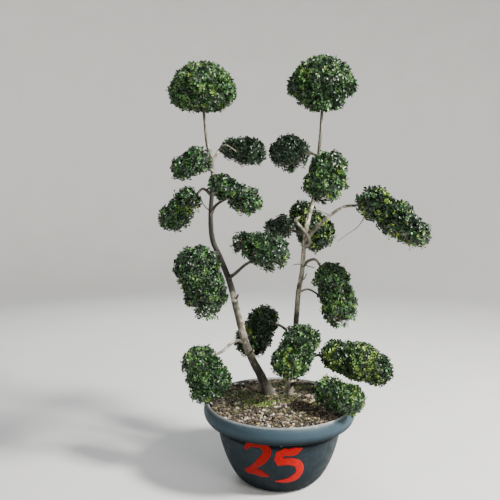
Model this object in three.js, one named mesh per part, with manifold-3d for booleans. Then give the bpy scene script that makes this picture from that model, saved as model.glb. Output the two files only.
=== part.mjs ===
// Cloud-clipped japanese holly growing in a round plastic patio pot.
// Millimetres, +Z up. The origin is the middle of the pot's flat underside.
// Two stems rise from one root. Boughs leave them on all sides, and each carries one clipped pad of foliage.

import * as THREE from 'three';
import { mergeVertices } from 'three/addons/utils/BufferGeometryUtils.js';
import Module from 'manifold-3d';

const wasm = await Module();
wasm.setup();

// Pot: a bowl with a rolled rim whose skirt hangs clear of the wall
const POT_HEIGHT = 292;
const FOOT_RADIUS = 132;
const SHOULDER_RADIUS = 236;
const SHOULDER_HEIGHT = 226;
const RIM_RADIUS = 285;
const LIP_RADIUS = 272;
const LIP_FALL = 2;
const WALL = 4.5;
const FLOOR = 6;
const POT_SEGMENTS = 32;

// How far the bowl's side is pulled out beside the foot and below the shoulder
const BOWL_PULL = { foot: [50, 7], shoulder: [9, 88] };
const BOWL_STEPS = 6;

// The skirt's section is part of an ellipse, from its hanging edge to the outer top of the rim
const SKIRT = { reach: 27, drop: 36, middleBelowLip: 30, thickness: 4, steps: 4 };
const SKIRT_ANGLES = [-1.45, 0.65];

// Soil: filled almost to the lip, a little higher in the middle, its mulch heaped in low mounds
const SOIL_TOP = 289;
const SOIL_EDGE_RADIUS = 261;
const SOIL_EDGE_DROP = 7;
const SOIL_FLAT_RADIUS = 120;
const SOIL_CLEARANCE = 1;
const SOIL_RINGS = 9;
const MOUND = { height: 5, wave: 112, start: [0.6, 1.1], edgeFade: 29 };
const LEVEL_ROUND_STEM = { radius: 60, fade: 30 };

// Wood
const GAP = 0.3;
const TRUNK_SIDES = 10;
const BOUGH_SIDES = 6;
const TRUNK_STEP = 75;
const BOUGH_STEP = 27;
const TRUNK_TAPER = 0.85;
const ROOT_FLARE = { extra: 0.75, height: 34 };
const BOUGH_COLLAR = { extra: 0.5, share: 0.11 };
const ENTRY = 0.97;
const BURIED = 20;
const CUTTER = 400;
const BEAD_STEP = 6;
const HALVINGS = 40;
const ONE_STEP = Infinity;
const MERGE_DISTANCE = 1e-4;

// Foliage: leaves and twigs fill a shell between each pad's core and its outline
const SHELL = 15;
const CORE_UNEVEN = { least: 0.99, more: 0.1 };
const FINE_CORE_FROM = 100;
const WAIST = 0.6;
const WAIST_SIDES = 8;
const LEAF = { length: 34, width: 21, thickness: 1.6, spread: 20, count: 2, turn: 0.5 };
const LEAF_SHORT = 1.5;
const LEAF_PROUD = 3.5;
const SPACE_MARGIN = 8;
const TWIG_RADIUS = 2.2;
const TWIG_SIDES = 3;
const TWIG_SHORT = 8;
const FORK_DEPTH = 24;
const NEXT_LOBE = 1.03;
const LIMB_CLEARANCE = 1.5;
const POT_CLEARANCE = 3;
const AREA_PER_TWIG = 17500;
const FEWEST_TWIGS = 3;
const GOLDEN_ANGLE = Math.PI * (3 - Math.sqrt(5));

// Steps of the random numbers
const SEED_STEP = 0x6d2b79f5;
const SEED_RANGE = 2 ** 32;

const SLATE_PLASTIC = new THREE.MeshStandardMaterial({ color: 0x3d474d, roughness: 0.5, metalness: 0 });
const POTTING_SOIL = new THREE.MeshStandardMaterial({ color: 0x5a4636, roughness: 0.95, metalness: 0 });
const BARK = new THREE.MeshStandardMaterial({ color: 0x9a9282, roughness: 0.85, metalness: 0 });
const HOLLY_LEAF = new THREE.MeshStandardMaterial({
  color: 0x3f6030, roughness: 0.45, metalness: 0, flatShading: true,
});

const at = (x, y, z) => new THREE.Vector3(x, y, z);

// A lobe is a rounded lump: centre, half width and half height
const lobe = (x, y, z, across, tall) => ({ centre: at(x, y, z), radii: at(across, across, tall) });

// The two stems: route from the soil to the tip, radius at both ends, and the pad and lobe of the tip
const TRUNKS = {
  trunk_left: {
    route: [
      at(-38, 60, SOIL_TOP), at(-63, 58, 357), at(-98, 54, 426), at(-124, 50, 490), at(-156, 42, 609),
      at(-186, 32, 734), at(-222, 26, 830), at(-250, 20, 898), at(-257, 20, 984), at(-250, 20, 1100),
      at(-251, 22, 1195), at(-267, 22, 1246), at(-276, 20, 1330), at(-281, 20, 1378),
    ],
    foot: 17, tip: 4, into: ['left_top', 0],
  },
  trunk_right: {
    route: [
      at(42, 62, SOIL_TOP), at(47, 62, 350), at(57, 60, 448), at(67, 56, 567), at(76, 52, 700),
      at(88, 50, 770), at(97, 46, 892), at(109, 44, 968), at(131, 42, 1066), at(141, 40, 1152),
      at(148, 40, 1237), at(154, 40, 1310), at(157, 40, 1376),
    ],
    foot: 12, tip: 4.5, into: ['right_top', 0],
  },
};

// The clipped pads, each made of one to three lobes that run into each other
const PADS = {
  left_top: [lobe(-285, 20, 1459, 116, 93), lobe(-322, 34, 1441, 90, 72), lobe(-244, 4, 1439, 90, 70)],
  right_top: [lobe(156, 40, 1474, 120, 104), lobe(116, 26, 1450, 92, 80), lobe(200, 54, 1453, 92, 78)],
  left_upper: [lobe(-295, -60, 1190, 54, 45), lobe(-350, -72, 1158, 46, 40)],
  left_outer: [lobe(-348, 70, 1043, 56, 54), lobe(-401, 80, 978, 62, 52)],
  left_inner: [
    lobe(-120, -110, 1039, 58, 51), lobe(-210, -68, 1096, 50, 44), lobe(-166, -90, 1066, 44, 38),
  ],
  centre_upper_left: [lobe(-110, 80, 1226, 60, 57), lobe(-172, 66, 1236, 50, 46)],
  centre_upper_right: [lobe(45, 130, 1227, 80, 76)],
  right_upper: [lobe(155, -80, 1096, 80, 66), lobe(170, -62, 1163, 68, 56)],
  right_outer: [
    lobe(334, -62, 1034, 66, 61), lobe(402, -88, 978, 74, 68), lobe(470, -112, 925, 55, 50),
  ],
  right_back: [lobe(156, 190, 912, 78, 76), lobe(102, 172, 990, 56, 52)],
  centre: [lobe(-47, -110, 864, 77, 71), lobe(-138, -78, 894, 44, 36)],
  centre_back: [lobe(6, 110, 939, 58, 51)],
  left_big: [lobe(-298, -110, 807, 85, 85), lobe(-263, -130, 714, 76, 92)],
  right_low: [lobe(197, 30, 744, 71, 67), lobe(229, 10, 640, 72, 76)],
  back_low: [lobe(-54, 200, 546, 66, 72), lobe(-98, 180, 474, 80, 62)],
  front_low: [lobe(78, -66, 533, 72, 63), lobe(36, -84, 458, 74, 62)],
  right_lower: [lobe(310, 60, 424, 85, 76), lobe(228, 66, 446, 64, 58), lobe(380, 52, 394, 64, 60)],
  rim_right: [lobe(230, -168, 353, 66, 57), lobe(168, -128, 368, 54, 54)],
  rim_left: [lobe(-294, -20, 438, 74, 69), lobe(-249, -48, 386, 70, 62), lobe(-286, -62, 340, 46, 36)],
};

const bough = (from, height, bends, into, thick, thin) =>
  ({ from, height, bends, into, radius: [thick, thin] });

// The boughs: the stem that each leaves and at what height, the bends on its way, the pad and the lobe of it
// that it enters, and its radius at both ends
const BOUGHS = {
  bough_left_upper: bough('trunk_left', 1150, [at(-262, -12, 1168)], ['left_upper', 0], 5, 3),
  bough_left_outer: bough('trunk_left', 1064, [at(-286, 38, 1089)], ['left_outer', 0], 5.5, 3.5),
  bough_left_inner: bough('trunk_left', 990, [at(-236, -12, 1026), at(-206, -48, 1046)],
    ['left_inner', 2], 5, 3.5),
  bough_centre_upper_left: bough('trunk_left', 1192, [at(-241, 32, 1206), at(-222, 48, 1238)],
    ['centre_upper_left', 1], 5, 3.2),
  bough_left_big: bough('trunk_left', 846, [at(-246, -24, 852)], ['left_big', 0], 7, 4.5),
  bough_centre: bough('trunk_left', 752, [at(-164, -8, 776), at(-128, -52, 812)], ['centre', 0], 6, 4),
  bough_rim_left: bough('trunk_left', 478, [at(-152, 38, 510), at(-182, 22, 503), at(-208, 4, 482)],
    ['rim_left', 0], 6, 4),
  bough_back_low: bough('trunk_right', 508, [at(44, 84, 530), at(10, 132, 548)], ['back_low', 0], 6, 4),
  bough_front_low: bough('trunk_right', 452, [at(66, 14, 486)], ['front_low', 0], 6, 4),
  bough_right_lower: bough('trunk_right', 398, [at(106, 62, 428), at(150, 64, 446)],
    ['right_lower', 1], 6.5, 4.5),
  bough_rim_right: bough('trunk_right', 330, [at(78, 12, 352), at(122, -58, 372)],
    ['rim_right', 1], 6, 4),
  bough_right_low: bough('trunk_right', 796, [at(114, 44, 818), at(138, 38, 822)],
    ['right_low', 0], 5.5, 3.5),
  bough_right_low_thin: bough('trunk_right', 694, [at(112, 42, 708)], ['right_low', 1], 3.2, 2.2),
  bough_right_outer: bough('trunk_right', 896,
    [at(134, 28, 938), at(178, 0, 984), at(232, -32, 1022)], ['right_outer', 0], 7, 4),
  bough_right_back: bough('trunk_right', 866,
    [at(114, 30, 886), at(104, 19, 915), at(80, 32, 946), at(64, 72, 970)], ['right_back', 1], 5.5, 4),
  bough_centre_back: bough('trunk_right', 916, [at(66, 70, 926)], ['centre_back', 0], 5, 3.5),
  bough_right_upper: bough('trunk_right', 1080, [at(138, -2, 1092)], ['right_upper', 0], 6, 4),
  bough_centre_upper_right: bough('trunk_right', 1206, [at(124, 66, 1222)],
    ['centre_upper_right', 0], 5, 3.5),
};

// Repeatable random numbers from a name
function numbersFor(name) {
  let state = [...name].reduce((sum, letter) => Math.imul(sum, 31) + letter.charCodeAt(0), 7) >>> 0;
  return () => {
    state = (state + SEED_STEP) >>> 0;
    let mixed = Math.imul(state ^ (state >>> 15), state | 1);
    mixed ^= mixed + Math.imul(mixed ^ (mixed >>> 7), mixed | 61);
    return ((mixed ^ (mixed >>> 14)) >>> 0) / SEED_RANGE;
  };
}

function stripped(geometry) {
  geometry.deleteAttribute('normal');
  geometry.deleteAttribute('uv');
  return geometry;
}

function solidOf(geometry) {
  const merged = mergeVertices(stripped(geometry.clone()), MERGE_DISTANCE);
  return new wasm.Manifold(new wasm.Mesh({
    numProp: 3,
    vertProperties: new Float32Array(merged.attributes.position.array),
    triVerts: new Uint32Array(merged.index.array),
  }));
}

function geometryOf(solid) {
  const mesh = solid.getMesh();
  const geometry = new THREE.BufferGeometry();
  geometry.setAttribute('position', new THREE.BufferAttribute(mesh.vertProperties, 3));
  geometry.setIndex(new THREE.BufferAttribute(mesh.triVerts, 1));
  geometry.computeVertexNormals();
  return geometry;
}

// Fusing can seal a hollow or shed a scrap: only the outer skin of the largest body stays
function oneBody(solid) {
  const bodies = solid.decompose();
  return bodies.reduce((largest, body) => (body.volume() > largest.volume() ? body : largest));
}

const smoothCurve = (route) => new THREE.CatmullRomCurve3(route, false, 'centripetal');

// A cylinder bent along a curve, with its own radius at each step
function limbGeometry(curve, radiusAt, sides, stepLength) {
  const steps = Math.max(1, Math.round(curve.getLength() / stepLength));
  const frames = curve.computeFrenetFrames(steps, false);
  const geometry = new THREE.CylinderGeometry(1, 1, 1, sides, steps, false);
  const position = geometry.attributes.position;
  const corner = new THREE.Vector3();
  for (let i = 0; i < position.count; i += 1) {
    corner.fromBufferAttribute(position, i);
    const along = corner.y + 0.5;
    const step = Math.round(along * steps);
    const radius = radiusAt(along);
    const centre = curve.getPointAt(along);
    centre.addScaledVector(frames.normals[step], corner.x * radius);
    centre.addScaledVector(frames.binormals[step], -corner.z * radius);
    position.setXYZ(i, centre.x, centre.y, centre.z);
  }
  return geometry;
}

// The point of a rising stem at a given height
function pointAtHeight(curve, height) {
  let low = 0;
  let high = 1;
  for (let i = 0; i < HALVINGS; i += 1) {
    const middle = (low + high) / 2;
    if (curve.getPointAt(middle).z < height) low = middle;
    else high = middle;
  }
  return curve.getPointAt(low);
}

// Where a straight line towards a lobe's centre enters its outline
function entryPoint(from, { centre, radii }) {
  const scaled = from.clone().sub(centre).divide(radii).length();
  return centre.clone().lerp(from, ENTRY / scaled);
}

// A limb keeps its solid, samples along its middle for clearance tests, and where its tip points
function makeLimb(curve, radiusAt, sides, stepLength) {
  const samples = Math.ceil(curve.getLength() / BEAD_STEP);
  return {
    curve,
    solid: solidOf(limbGeometry(curve, radiusAt, sides, stepLength)),
    fat: solidOf(limbGeometry(curve, (along) => radiusAt(along) + GAP, sides, stepLength)),
    beads: Array.from({ length: samples + 1 }, (_, i) => ({
      centre: curve.getPointAt(i / samples), radius: radiusAt(i / samples),
    })),
    tip: curve.getPointAt(1),
    heading: curve.getTangentAt(1),
    tipRadius: radiusAt(1),
  };
}

// A stem tapers upwards and swells into its root flare, and is cut flat just above the soil
function makeTrunk({ route, foot, tip }) {
  const start = route[0].clone().add(route[0].clone().sub(route[1]).setLength(BURIED));
  const curve = smoothCurve([start, ...route.slice(1)]);
  const length = curve.getLength();
  const radiusAt = (along) => {
    const taper = THREE.MathUtils.lerp(foot, tip, along ** TRUNK_TAPER);
    const rise = Math.max(0, along * length - BURIED);
    return taper * (1 + ROOT_FLARE.extra * Math.exp(-rise / ROOT_FLARE.height));
  };
  const trunk = makeLimb(curve, radiusAt, TRUNK_SIDES, TRUNK_STEP);
  const ground = new THREE.BoxGeometry(CUTTER, CUTTER, CUTTER);
  ground.translate(route[0].x, route[0].y, SOIL_TOP + GAP - CUTTER / 2);
  trunk.solid = trunk.solid.subtract(solidOf(ground));
  return trunk;
}

// A bough leaves its stem with a small collar and thins evenly to where it enters its pad
function makeBough({ from, height, bends, into, radius }, trunks) {
  const start = pointAtHeight(trunks[from].curve, height);
  const target = PADS[into[0]][into[1]];
  const curve = smoothCurve([start, ...bends, entryPoint(bends[bends.length - 1], target)]);
  const [thick, thin] = radius;
  const radiusAt = (along) => {
    const collar = 1 + BOUGH_COLLAR.extra * Math.exp(-along / BOUGH_COLLAR.share);
    return THREE.MathUtils.lerp(thick, thin, along) * collar;
  };
  return makeLimb(curve, radiusAt, BOUGH_SIDES, BOUGH_STEP);
}

const inside = (point, { centre, radii }, scale = 1) =>
  point.clone().sub(centre).divide(radii).length() < scale;

const grown = ({ centre, radii }, reach) => ({ centre, radii: radii.clone().addScalar(reach) });

// The point of a lobe's outline in the direction of another point
const onOutline = (point, { centre, radii }) => {
  const offset = point.clone().sub(centre);
  return centre.clone().addScaledVector(offset, 1 / offset.clone().divide(radii).length());
};

const nearPot = (point) =>
  Math.hypot(point.x, point.y) < RIM_RADIUS + POT_CLEARANCE && point.z < POT_HEIGHT + POT_CLEARANCE;

// A rounded lump with a slightly uneven, clipped surface
function coreGeometry({ centre, radii }, random) {
  const detail = radii.x > FINE_CORE_FROM ? 2 : 1;
  const geometry = mergeVertices(stripped(new THREE.IcosahedronGeometry(1, detail)));
  const position = geometry.attributes.position;
  const corner = new THREE.Vector3();
  const lengths = radii.clone().subScalar(SHELL);
  for (let i = 0; i < position.count; i += 1) {
    const size = CORE_UNEVEN.least + CORE_UNEVEN.more * random();
    corner.fromBufferAttribute(position, i).multiplyScalar(size).multiply(lengths).add(centre);
    position.setXYZ(i, corner.x, corner.y, corner.z);
  }
  return geometry;
}

// The branches inside a pad lead from its first lobe to each of the others
function waistGeometry(first, other) {
  const width = (Math.min(first.radii.z, other.radii.z) - SHELL) * WAIST;
  const line = new THREE.LineCurve3(first.centre, other.centre);
  return limbGeometry(line, () => width, WAIST_SIDES, ONE_STEP);
}

// Turns a shape built along +X with its flat side up (+Z) to a place, a direction and a side
function placed(geometry, origin, along, up) {
  const side = new THREE.Vector3().crossVectors(up, along).normalize();
  const flat = new THREE.Vector3().crossVectors(along, side);
  const matrix = new THREE.Matrix4().makeBasis(along, side, flat).setPosition(origin);
  return geometry.applyMatrix4(matrix);
}

function leafGeometry(root, along, up) {
  const leaf = new THREE.OctahedronGeometry(1, 0);
  leaf.scale(LEAF.length / 2, LEAF.width / 2, LEAF.thickness / 2);
  leaf.translate(LEAF.length / 2, 0, 0);
  return placed(leaf, root, along, up);
}

function twigGeometry(root, along, up, length) {
  const twig = new THREE.ConeGeometry(TWIG_RADIUS, length, TWIG_SIDES);
  twig.rotateZ(-Math.PI / 2);
  twig.translate(length / 2, 0, 0);
  return placed(twig, root, along, up);
}

// Directions spread evenly over all sides
function evenDirections(count, turn) {
  return Array.from({ length: count }, (_, i) => {
    const rise = 1 - (2 * i + 1) / count;
    const ring = Math.sqrt(1 - rise * rise);
    const bearing = turn + i * GOLDEN_ANGLE;
    return at(Math.cos(bearing) * ring, Math.sin(bearing) * ring, rise);
  });
}

// A test for shapes: all their corners and their middle stay in the pad's space, off the limbs and the pot
function spaceTest(lobes, limbs) {
  const space = lobes.map((one) => grown(one, SPACE_MARGIN));
  const beads = limbs.flatMap((limb) => limb.beads);
  const clear = (point) => space.some((one) => inside(point, one)) && !nearPot(point) &&
    beads.every(({ centre, radius }) => centre.distanceTo(point) > radius + LIMB_CLEARANCE);
  return (geometry) => {
    const { array } = geometry.attributes.position;
    const corners = [];
    for (let i = 0; i < array.length; i += 3) corners.push(new THREE.Vector3().fromArray(array, i));
    const middle = corners.reduce((sum, corner) => sum.add(corner), at(0, 0, 0));
    return [...corners, middle.divideScalar(corners.length)].every(clear);
  };
}

// A twig ends at the outline, with its leaves forking off on opposite sides just before that
function twigShapes(tip, one, random) {
  const outward = tip.clone().sub(one.centre).normalize();
  const sideways = at(random() - 0.5, random() - 0.5, random() - 0.5).cross(outward).normalize();
  const length = tip.distanceTo(one.centre) - TWIG_SHORT;
  const shapes = [twigGeometry(one.centre, outward, sideways, length)];
  const fork = tip.clone().addScaledVector(outward, -FORK_DEPTH);
  for (let leaf = 0; leaf < LEAF.count; leaf += 1) {
    const angle = (leaf + LEAF.turn * random()) * Math.PI * 2 / LEAF.count;
    const spread = sideways.clone().applyAxisAngle(outward, angle).multiplyScalar(LEAF.spread);
    const reach = THREE.MathUtils.lerp(-LEAF_SHORT, LEAF_PROUD, random());
    const leafTip = onOutline(tip.clone().add(spread), grown(one, reach));
    const along = leafTip.clone().sub(fork).normalize();
    const root = leafTip.clone().addScaledVector(along, -LEAF.length);
    shapes.push(leafGeometry(root, along, outward));
  }
  return shapes;
}

// Twigs fan out from each lobe's middle, evenly over the part of its surface that no other lobe covers
function foliageShapes(lobes, limbs, random) {
  const fits = spaceTest(lobes, limbs);
  return lobes.flatMap((one) => {
    const { x, y, z } = one.radii;
    const area = 4 * Math.PI * (x * y + y * z + z * x) / 3;
    const count = Math.max(FEWEST_TWIGS, Math.round(area / AREA_PER_TWIG));
    return evenDirections(count, random() * Math.PI * 2)
      .map((direction) => direction.multiply(one.radii).add(one.centre))
      .filter((tip) => !lobes.some((other) => other !== one && inside(tip, other, NEXT_LOBE)))
      .flatMap((tip) => twigShapes(tip, one, random))
      .filter(fits);
  });
}

// A pad: its core cut clear of the limbs, its stem, and the twigs and leaves that stand out of the core
function makePad(lobes, carrier, intoLobe, limbs, random) {
  const lumps = lobes.map((one) => coreGeometry(one, random));
  const waists = lobes.slice(1).map((one) => waistGeometry(lobes[0], one));
  let core = wasm.Manifold.union([...lumps, ...waists].map(solidOf));
  for (const limb of limbs) {
    const near = limb.beads.some((bead) =>
      lobes.some((one) => bead.centre.distanceTo(one.centre) < one.radii.x + bead.radius));
    if (near) core = core.subtract(limb.fat);
  }
  const root = carrier.tip.clone().addScaledVector(carrier.heading, GAP);
  const stemCurve = new THREE.LineCurve3(root, lobes[intoLobe].centre);
  const stem = limbGeometry(stemCurve, () => carrier.tipRadius, BOUGH_SIDES, ONE_STEP);
  const shapes = [stem, ...foliageShapes(lobes, limbs, random)];
  return oneBody(wasm.Manifold.union([core, ...shapes.map(solidOf)]));
}

// The bowl's side from the foot to the shoulder, set in from the outside by the inset
function bowlSide(inset, floor) {
  const shift = new THREE.Vector2(-inset, 0);
  const foot = new THREE.Vector2(FOOT_RADIUS, floor).add(shift);
  const shoulder = new THREE.Vector2(SHOULDER_RADIUS, SHOULDER_HEIGHT).add(shift);
  const overFoot = new THREE.Vector2(...BOWL_PULL.foot).add(foot);
  const underShoulder = shoulder.clone().sub(new THREE.Vector2(...BOWL_PULL.shoulder));
  return new THREE.CubicBezierCurve(foot, overFoot, underShoulder, shoulder).getPoints(BOWL_STEPS);
}

// One face of the skirt, from its hanging edge up, set in from the outer face by the inset
function skirtFace(inset) {
  const { reach, drop, middleBelowLip, steps } = SKIRT;
  return new THREE.EllipseCurve(
    RIM_RADIUS - reach, POT_HEIGHT - middleBelowLip, reach - inset, drop - inset, ...SKIRT_ANGLES,
  ).getPoints(steps);
}

// The pot's section: out along the foot, up the bowl, round the hanging skirt, over the lip and down inside
function potGeometry() {
  const middle = new THREE.Vector2(0, 0);
  const lip = new THREE.Vector2(LIP_RADIUS, POT_HEIGHT);
  const inLip = new THREE.Vector2(LIP_RADIUS - WALL, POT_HEIGHT - LIP_FALL);
  const inMiddle = new THREE.Vector2(0, FLOOR);
  return turned([
    middle, ...bowlSide(0, 0), ...skirtFace(SKIRT.thickness).reverse(), ...skirtFace(0), lip, inLip,
    ...bowlSide(WALL, FLOOR).reverse(), inMiddle,
  ]);
}

// The soil's mounds die out towards the lip and are level round each stem's foot
function moundHeight(x, y) {
  const [acrossStart, awayStart] = MOUND.start;
  const turn = Math.PI * 2 / MOUND.wave;
  const waves = Math.sin(x * turn + acrossStart) * Math.sin(y * turn + awayStart);
  const fromEdge = (SOIL_EDGE_RADIUS - Math.hypot(x, y)) / MOUND.edgeFade;
  const fromStems = Object.values(TRUNKS).map(({ route: [foot] }) =>
    (Math.hypot(x - foot.x, y - foot.y) - LEVEL_ROUND_STEM.radius) / LEVEL_ROUND_STEM.fade);
  return MOUND.height * waves * THREE.MathUtils.clamp(Math.min(fromEdge, ...fromStems), 0, 1);
}

// Soil: fills the pot to just under the lip, clear of the wall and floor
function soilGeometry() {
  const middle = new THREE.Vector2(0, FLOOR + GAP);
  const rings = Array.from({ length: SOIL_RINGS + 1 }, (_, i) => {
    const radius = SOIL_EDGE_RADIUS * (1 - i / SOIL_RINGS);
    const fall = Math.max(0, radius - SOIL_FLAT_RADIUS) / (SOIL_EDGE_RADIUS - SOIL_FLAT_RADIUS);
    return new THREE.Vector2(radius, SOIL_TOP - SOIL_EDGE_DROP * fall);
  });
  const soil = turned([middle, ...bowlSide(WALL + SOIL_CLEARANCE, FLOOR + GAP), ...rings]);
  const position = soil.attributes.position;
  for (let i = 0; i < position.count; i += 1) {
    const [x, y, z] = [position.getX(i), position.getY(i), position.getZ(i)];
    if (z > SHOULDER_HEIGHT + 1) position.setZ(i, z + moundHeight(x, y));
  }
  soil.computeVertexNormals();
  return soil;
}

// A round piece from its section, whose points are a radius and a height
function turned(section) {
  return new THREE.LatheGeometry(section, POT_SEGMENTS).rotateX(Math.PI / 2);
}

// A mesh whose own origin is a chosen point of the piece
function meshAt(name, geometry, material, origin = at(0, 0, 0)) {
  const mesh = new THREE.Mesh(geometry.translate(-origin.x, -origin.y, -origin.z), material);
  mesh.name = name;
  mesh.position.copy(origin);
  return mesh;
}

// All the limbs by name, each cut clear of the ones before it
function makeWood() {
  const trunks = Object.fromEntries(Object.entries(TRUNKS).map(([name, trunk]) => [name, makeTrunk(trunk)]));
  const limbs = { ...trunks };
  for (const [name, spec] of Object.entries(BOUGHS)) {
    const limb = makeBough(spec, trunks);
    for (const other of Object.values(limbs)) limb.solid = limb.solid.subtract(other.fat);
    limb.solid = oneBody(limb.solid);
    limbs[name] = limb;
  }
  return limbs;
}

// The name of the limb that ends in a pad, and the number of the lobe that it enters
function carrierOf(pad) {
  const limbs = Object.entries({ ...TRUNKS, ...BOUGHS });
  const [carrier, { into }] = limbs.find(([, limb]) => limb.into[0] === pad);
  return { carrier, intoLobe: into[1] };
}

function makeTopiary() {
  const pot = new THREE.Group();
  pot.add(meshAt('pot', potGeometry(), SLATE_PLASTIC));
  pot.add(meshAt('soil', soilGeometry(), POTTING_SOIL));

  const wood = new THREE.Group();
  const limbs = makeWood();
  for (const [name, limb] of Object.entries(limbs)) {
    wood.add(meshAt(name, geometryOf(limb.solid), BARK, limb.curve.getPointAt(0)));
  }

  const foliage = new THREE.Group();
  for (const [name, lobes] of Object.entries(PADS)) {
    const { carrier, intoLobe } = carrierOf(name);
    const pad = makePad(lobes, limbs[carrier], intoLobe, Object.values(limbs), numbersFor(name));
    foliage.add(meshAt(`foliage_${name}`, geometryOf(pad), HOLLY_LEAF, lobes[0].centre));
  }

  const topiary = new THREE.Group();
  topiary.add(pot, wood, foliage);
  return topiary;
}

export default makeTopiary();
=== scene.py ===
# Japanese holly trained as a cloud topiary, in its round patio pot. Metres, +Z up.
import math
import zlib
from collections import namedtuple
from contextlib import contextmanager
from itertools import combinations

import bpy
import numpy as np
from bpy.props import FloatProperty, FloatVectorProperty, IntProperty, PointerProperty
from bpy.types import Operator, Panel, PropertyGroup
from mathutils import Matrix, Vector, noise


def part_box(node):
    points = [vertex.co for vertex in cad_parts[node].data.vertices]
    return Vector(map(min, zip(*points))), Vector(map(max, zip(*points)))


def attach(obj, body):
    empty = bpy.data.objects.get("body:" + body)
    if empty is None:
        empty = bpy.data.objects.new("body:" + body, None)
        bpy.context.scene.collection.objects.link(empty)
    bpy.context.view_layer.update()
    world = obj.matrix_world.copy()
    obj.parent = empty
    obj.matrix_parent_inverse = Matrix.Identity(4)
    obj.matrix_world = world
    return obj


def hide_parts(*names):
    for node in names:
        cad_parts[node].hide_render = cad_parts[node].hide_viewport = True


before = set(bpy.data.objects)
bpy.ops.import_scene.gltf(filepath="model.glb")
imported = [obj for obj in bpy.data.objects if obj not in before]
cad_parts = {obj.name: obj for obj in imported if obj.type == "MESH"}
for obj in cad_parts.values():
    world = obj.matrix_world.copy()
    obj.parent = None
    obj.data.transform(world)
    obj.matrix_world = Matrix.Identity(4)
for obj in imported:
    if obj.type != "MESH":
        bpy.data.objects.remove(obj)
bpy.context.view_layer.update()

bl_info = {
    "name": "Potted Holly Topiary",
    "version": (1, 0, 0),
    "blender": (4, 5, 0),
    "location": "View3D > Sidebar > Topiary",
    "description": "Dresses the packed holly topiary: pot, soil, bark, twigs and leaves",
    "category": "Object",
}

MM = 0.001
FULL_TURN = 2 * math.pi
GOLDEN_ANGLE = math.pi * (3 - math.sqrt(5))

POT_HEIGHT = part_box("pot")[1].z
SOIL_TOP = POT_HEIGHT - 3 * MM

# The pot's form: radii and heights of its bowl, lip and hanging skirt
FOOT_RADIUS = 132 * MM
SHOULDER_RADIUS = 236 * MM
SHOULDER_HEIGHT = 226 * MM
FOOT_PULL = np.array([50, 7]) * MM
SHOULDER_PULL = np.array([9, 88]) * MM
LIP_RADIUS = 272 * MM
LIP_FALL = 2 * MM
FLOOR = 6 * MM
GAP = 0.3 * MM
SKIRT_REACH = 27 * MM
SKIRT_DROP = 36 * MM
SKIRT_MIDDLE = (258 * MM, POT_HEIGHT - 30 * MM)
SKIRT_ANGLES = (-1.45, 0.65)
SOIL_CLEARANCE = 1 * MM
SOIL_EDGE_RADIUS = 261 * MM
SOIL_EDGE_HEIGHT = SOIL_TOP - 7 * MM
SOIL_FLAT_RADIUS = 120 * MM

# The mulch's low mounds: how high and wide they are and where they die out, and how far from a stem's foot
# loose things lie
MOUND_HEIGHT = 5 * MM
MOUND_WAVE = 112 * MM
MOUND_START = (0.6, 1.1)
MOUND_EDGE_FADE = 29 * MM
LEVEL_RADIUS = 60 * MM
LEVEL_FADE = 30 * MM
STEM_CLEARANCE = 24 * MM

# How limbs start, swell and end
BURIED = 20 * MM
TRUNK_TAPER = 0.85
FLARE = 0.75
FLARE_HEIGHT = 34 * MM
COLLAR = 0.5
COLLAR_SHARE = 0.11
ENTRY = 0.97
SPAN_STEPS = 24
LIMB_STEP = 4 * MM

# A limb's relief on a tube of radius 1: the size of its lumps and of its skin, the skin's share of the
# height, how deep a stem's foot is fluted, and how far a limb's blunt end reaches and how wide it is
LUMP_SIZE = 1.6
SKIN_SIZE = 0.45
SKIN_SHARE = 0.45
FLUTES = 0.10
END_REACH = 0.35
END_WIDTH = 0.62

# Bark: how far it stands out, how softly its dark stretches begin and end, and how pale each limb is drawn,
# which is painted light and shade on the bark's own tone, each with its stretches of painted shadow that
# the
# pads cast: from and up to which height, and how much
BARK_THICK = 1.0 * MM
BAND_FADE = 0.05
BARK = {
    "trunk_left": (0.86, [(0.0, 0.34, 0.50), (0.0, 0.47, 0.45), (0.70, 1.11, 0.98)]),
    "trunk_right": (1.95, [(0.40, 0.70, 0.97), (0.97, 1.18, 0.32), (1.18, 2.0, 0.74)]),
    "bough_right_outer": (1.55, [(1.0, 2.0, 0.88)]),
    "bough_right_back": (1.25, []),
    "bough_rim_left": (1.0, []),
    "bough_centre_upper_left": (0.95, []),
    "bough_centre_upper_right": (0.95, []),
    "bough_left_upper": (0.95, []),
}

# The space that a twig or leaf keeps to, and from how near on it heeds a limb
SPACE_MARGIN = 12 * MM
TIP_MARGIN = -4 * MM
SHORTENED = (-14 * MM, -4 * MM)
LIMB_CLEARANCE = 1.5 * MM
POT_CLEARANCE = 3 * MM
NEXT_LOBE = 0.96
NEARBY = 30 * MM

# The clipped surface: how far most shoots end below the outline, and on fuller pads, how uneven they end,
# its broad hollows and tufts, each with its waves per metre, and the filled creases between lobes
SET_BACK = 25 * MM
FULLER = {"right_lower": 13 * MM, "right_back": 14 * MM}
UNEVEN = 2.4 * MM
BROAD_HOLLOWS = 26 * MM
HOLLOW_WAVES = 17
TUFTS = 46 * MM
TUFT_WAVES = 32
CREASE_FILL = 10 * MM
CREASE_WIDTH = 0.35

# Looser shoots: their share, how they gather, how far below the outline they end, and how unevenly
LOOSE_SHOOTS = 0.10
LOOSE_GATHERING = 3.0
LOOSE_WAVES = 30
LOOSE_SET_BACK = 6 * MM
LOOSE_UNEVEN = 4 * MM

# A pad's underside: how far it is lifted, from how steep on and how much it is thinned, the pads that are
# full to below, those whose underside follows their first lobe, out to which share of it, and how deep
# inside that their twigs stay
LIFTED_UNDERSIDE = 0.24
BARE_SLOPE = 0.35
BARE_UNDERSIDE = 0.9
FULL_BELOW = ("right_lower", "left_upper")
ROUND_BELOW = ("right_top",)
ROUND_OUT_TO = 0.94
TWIG_DEPTH = 30 * MM

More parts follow.
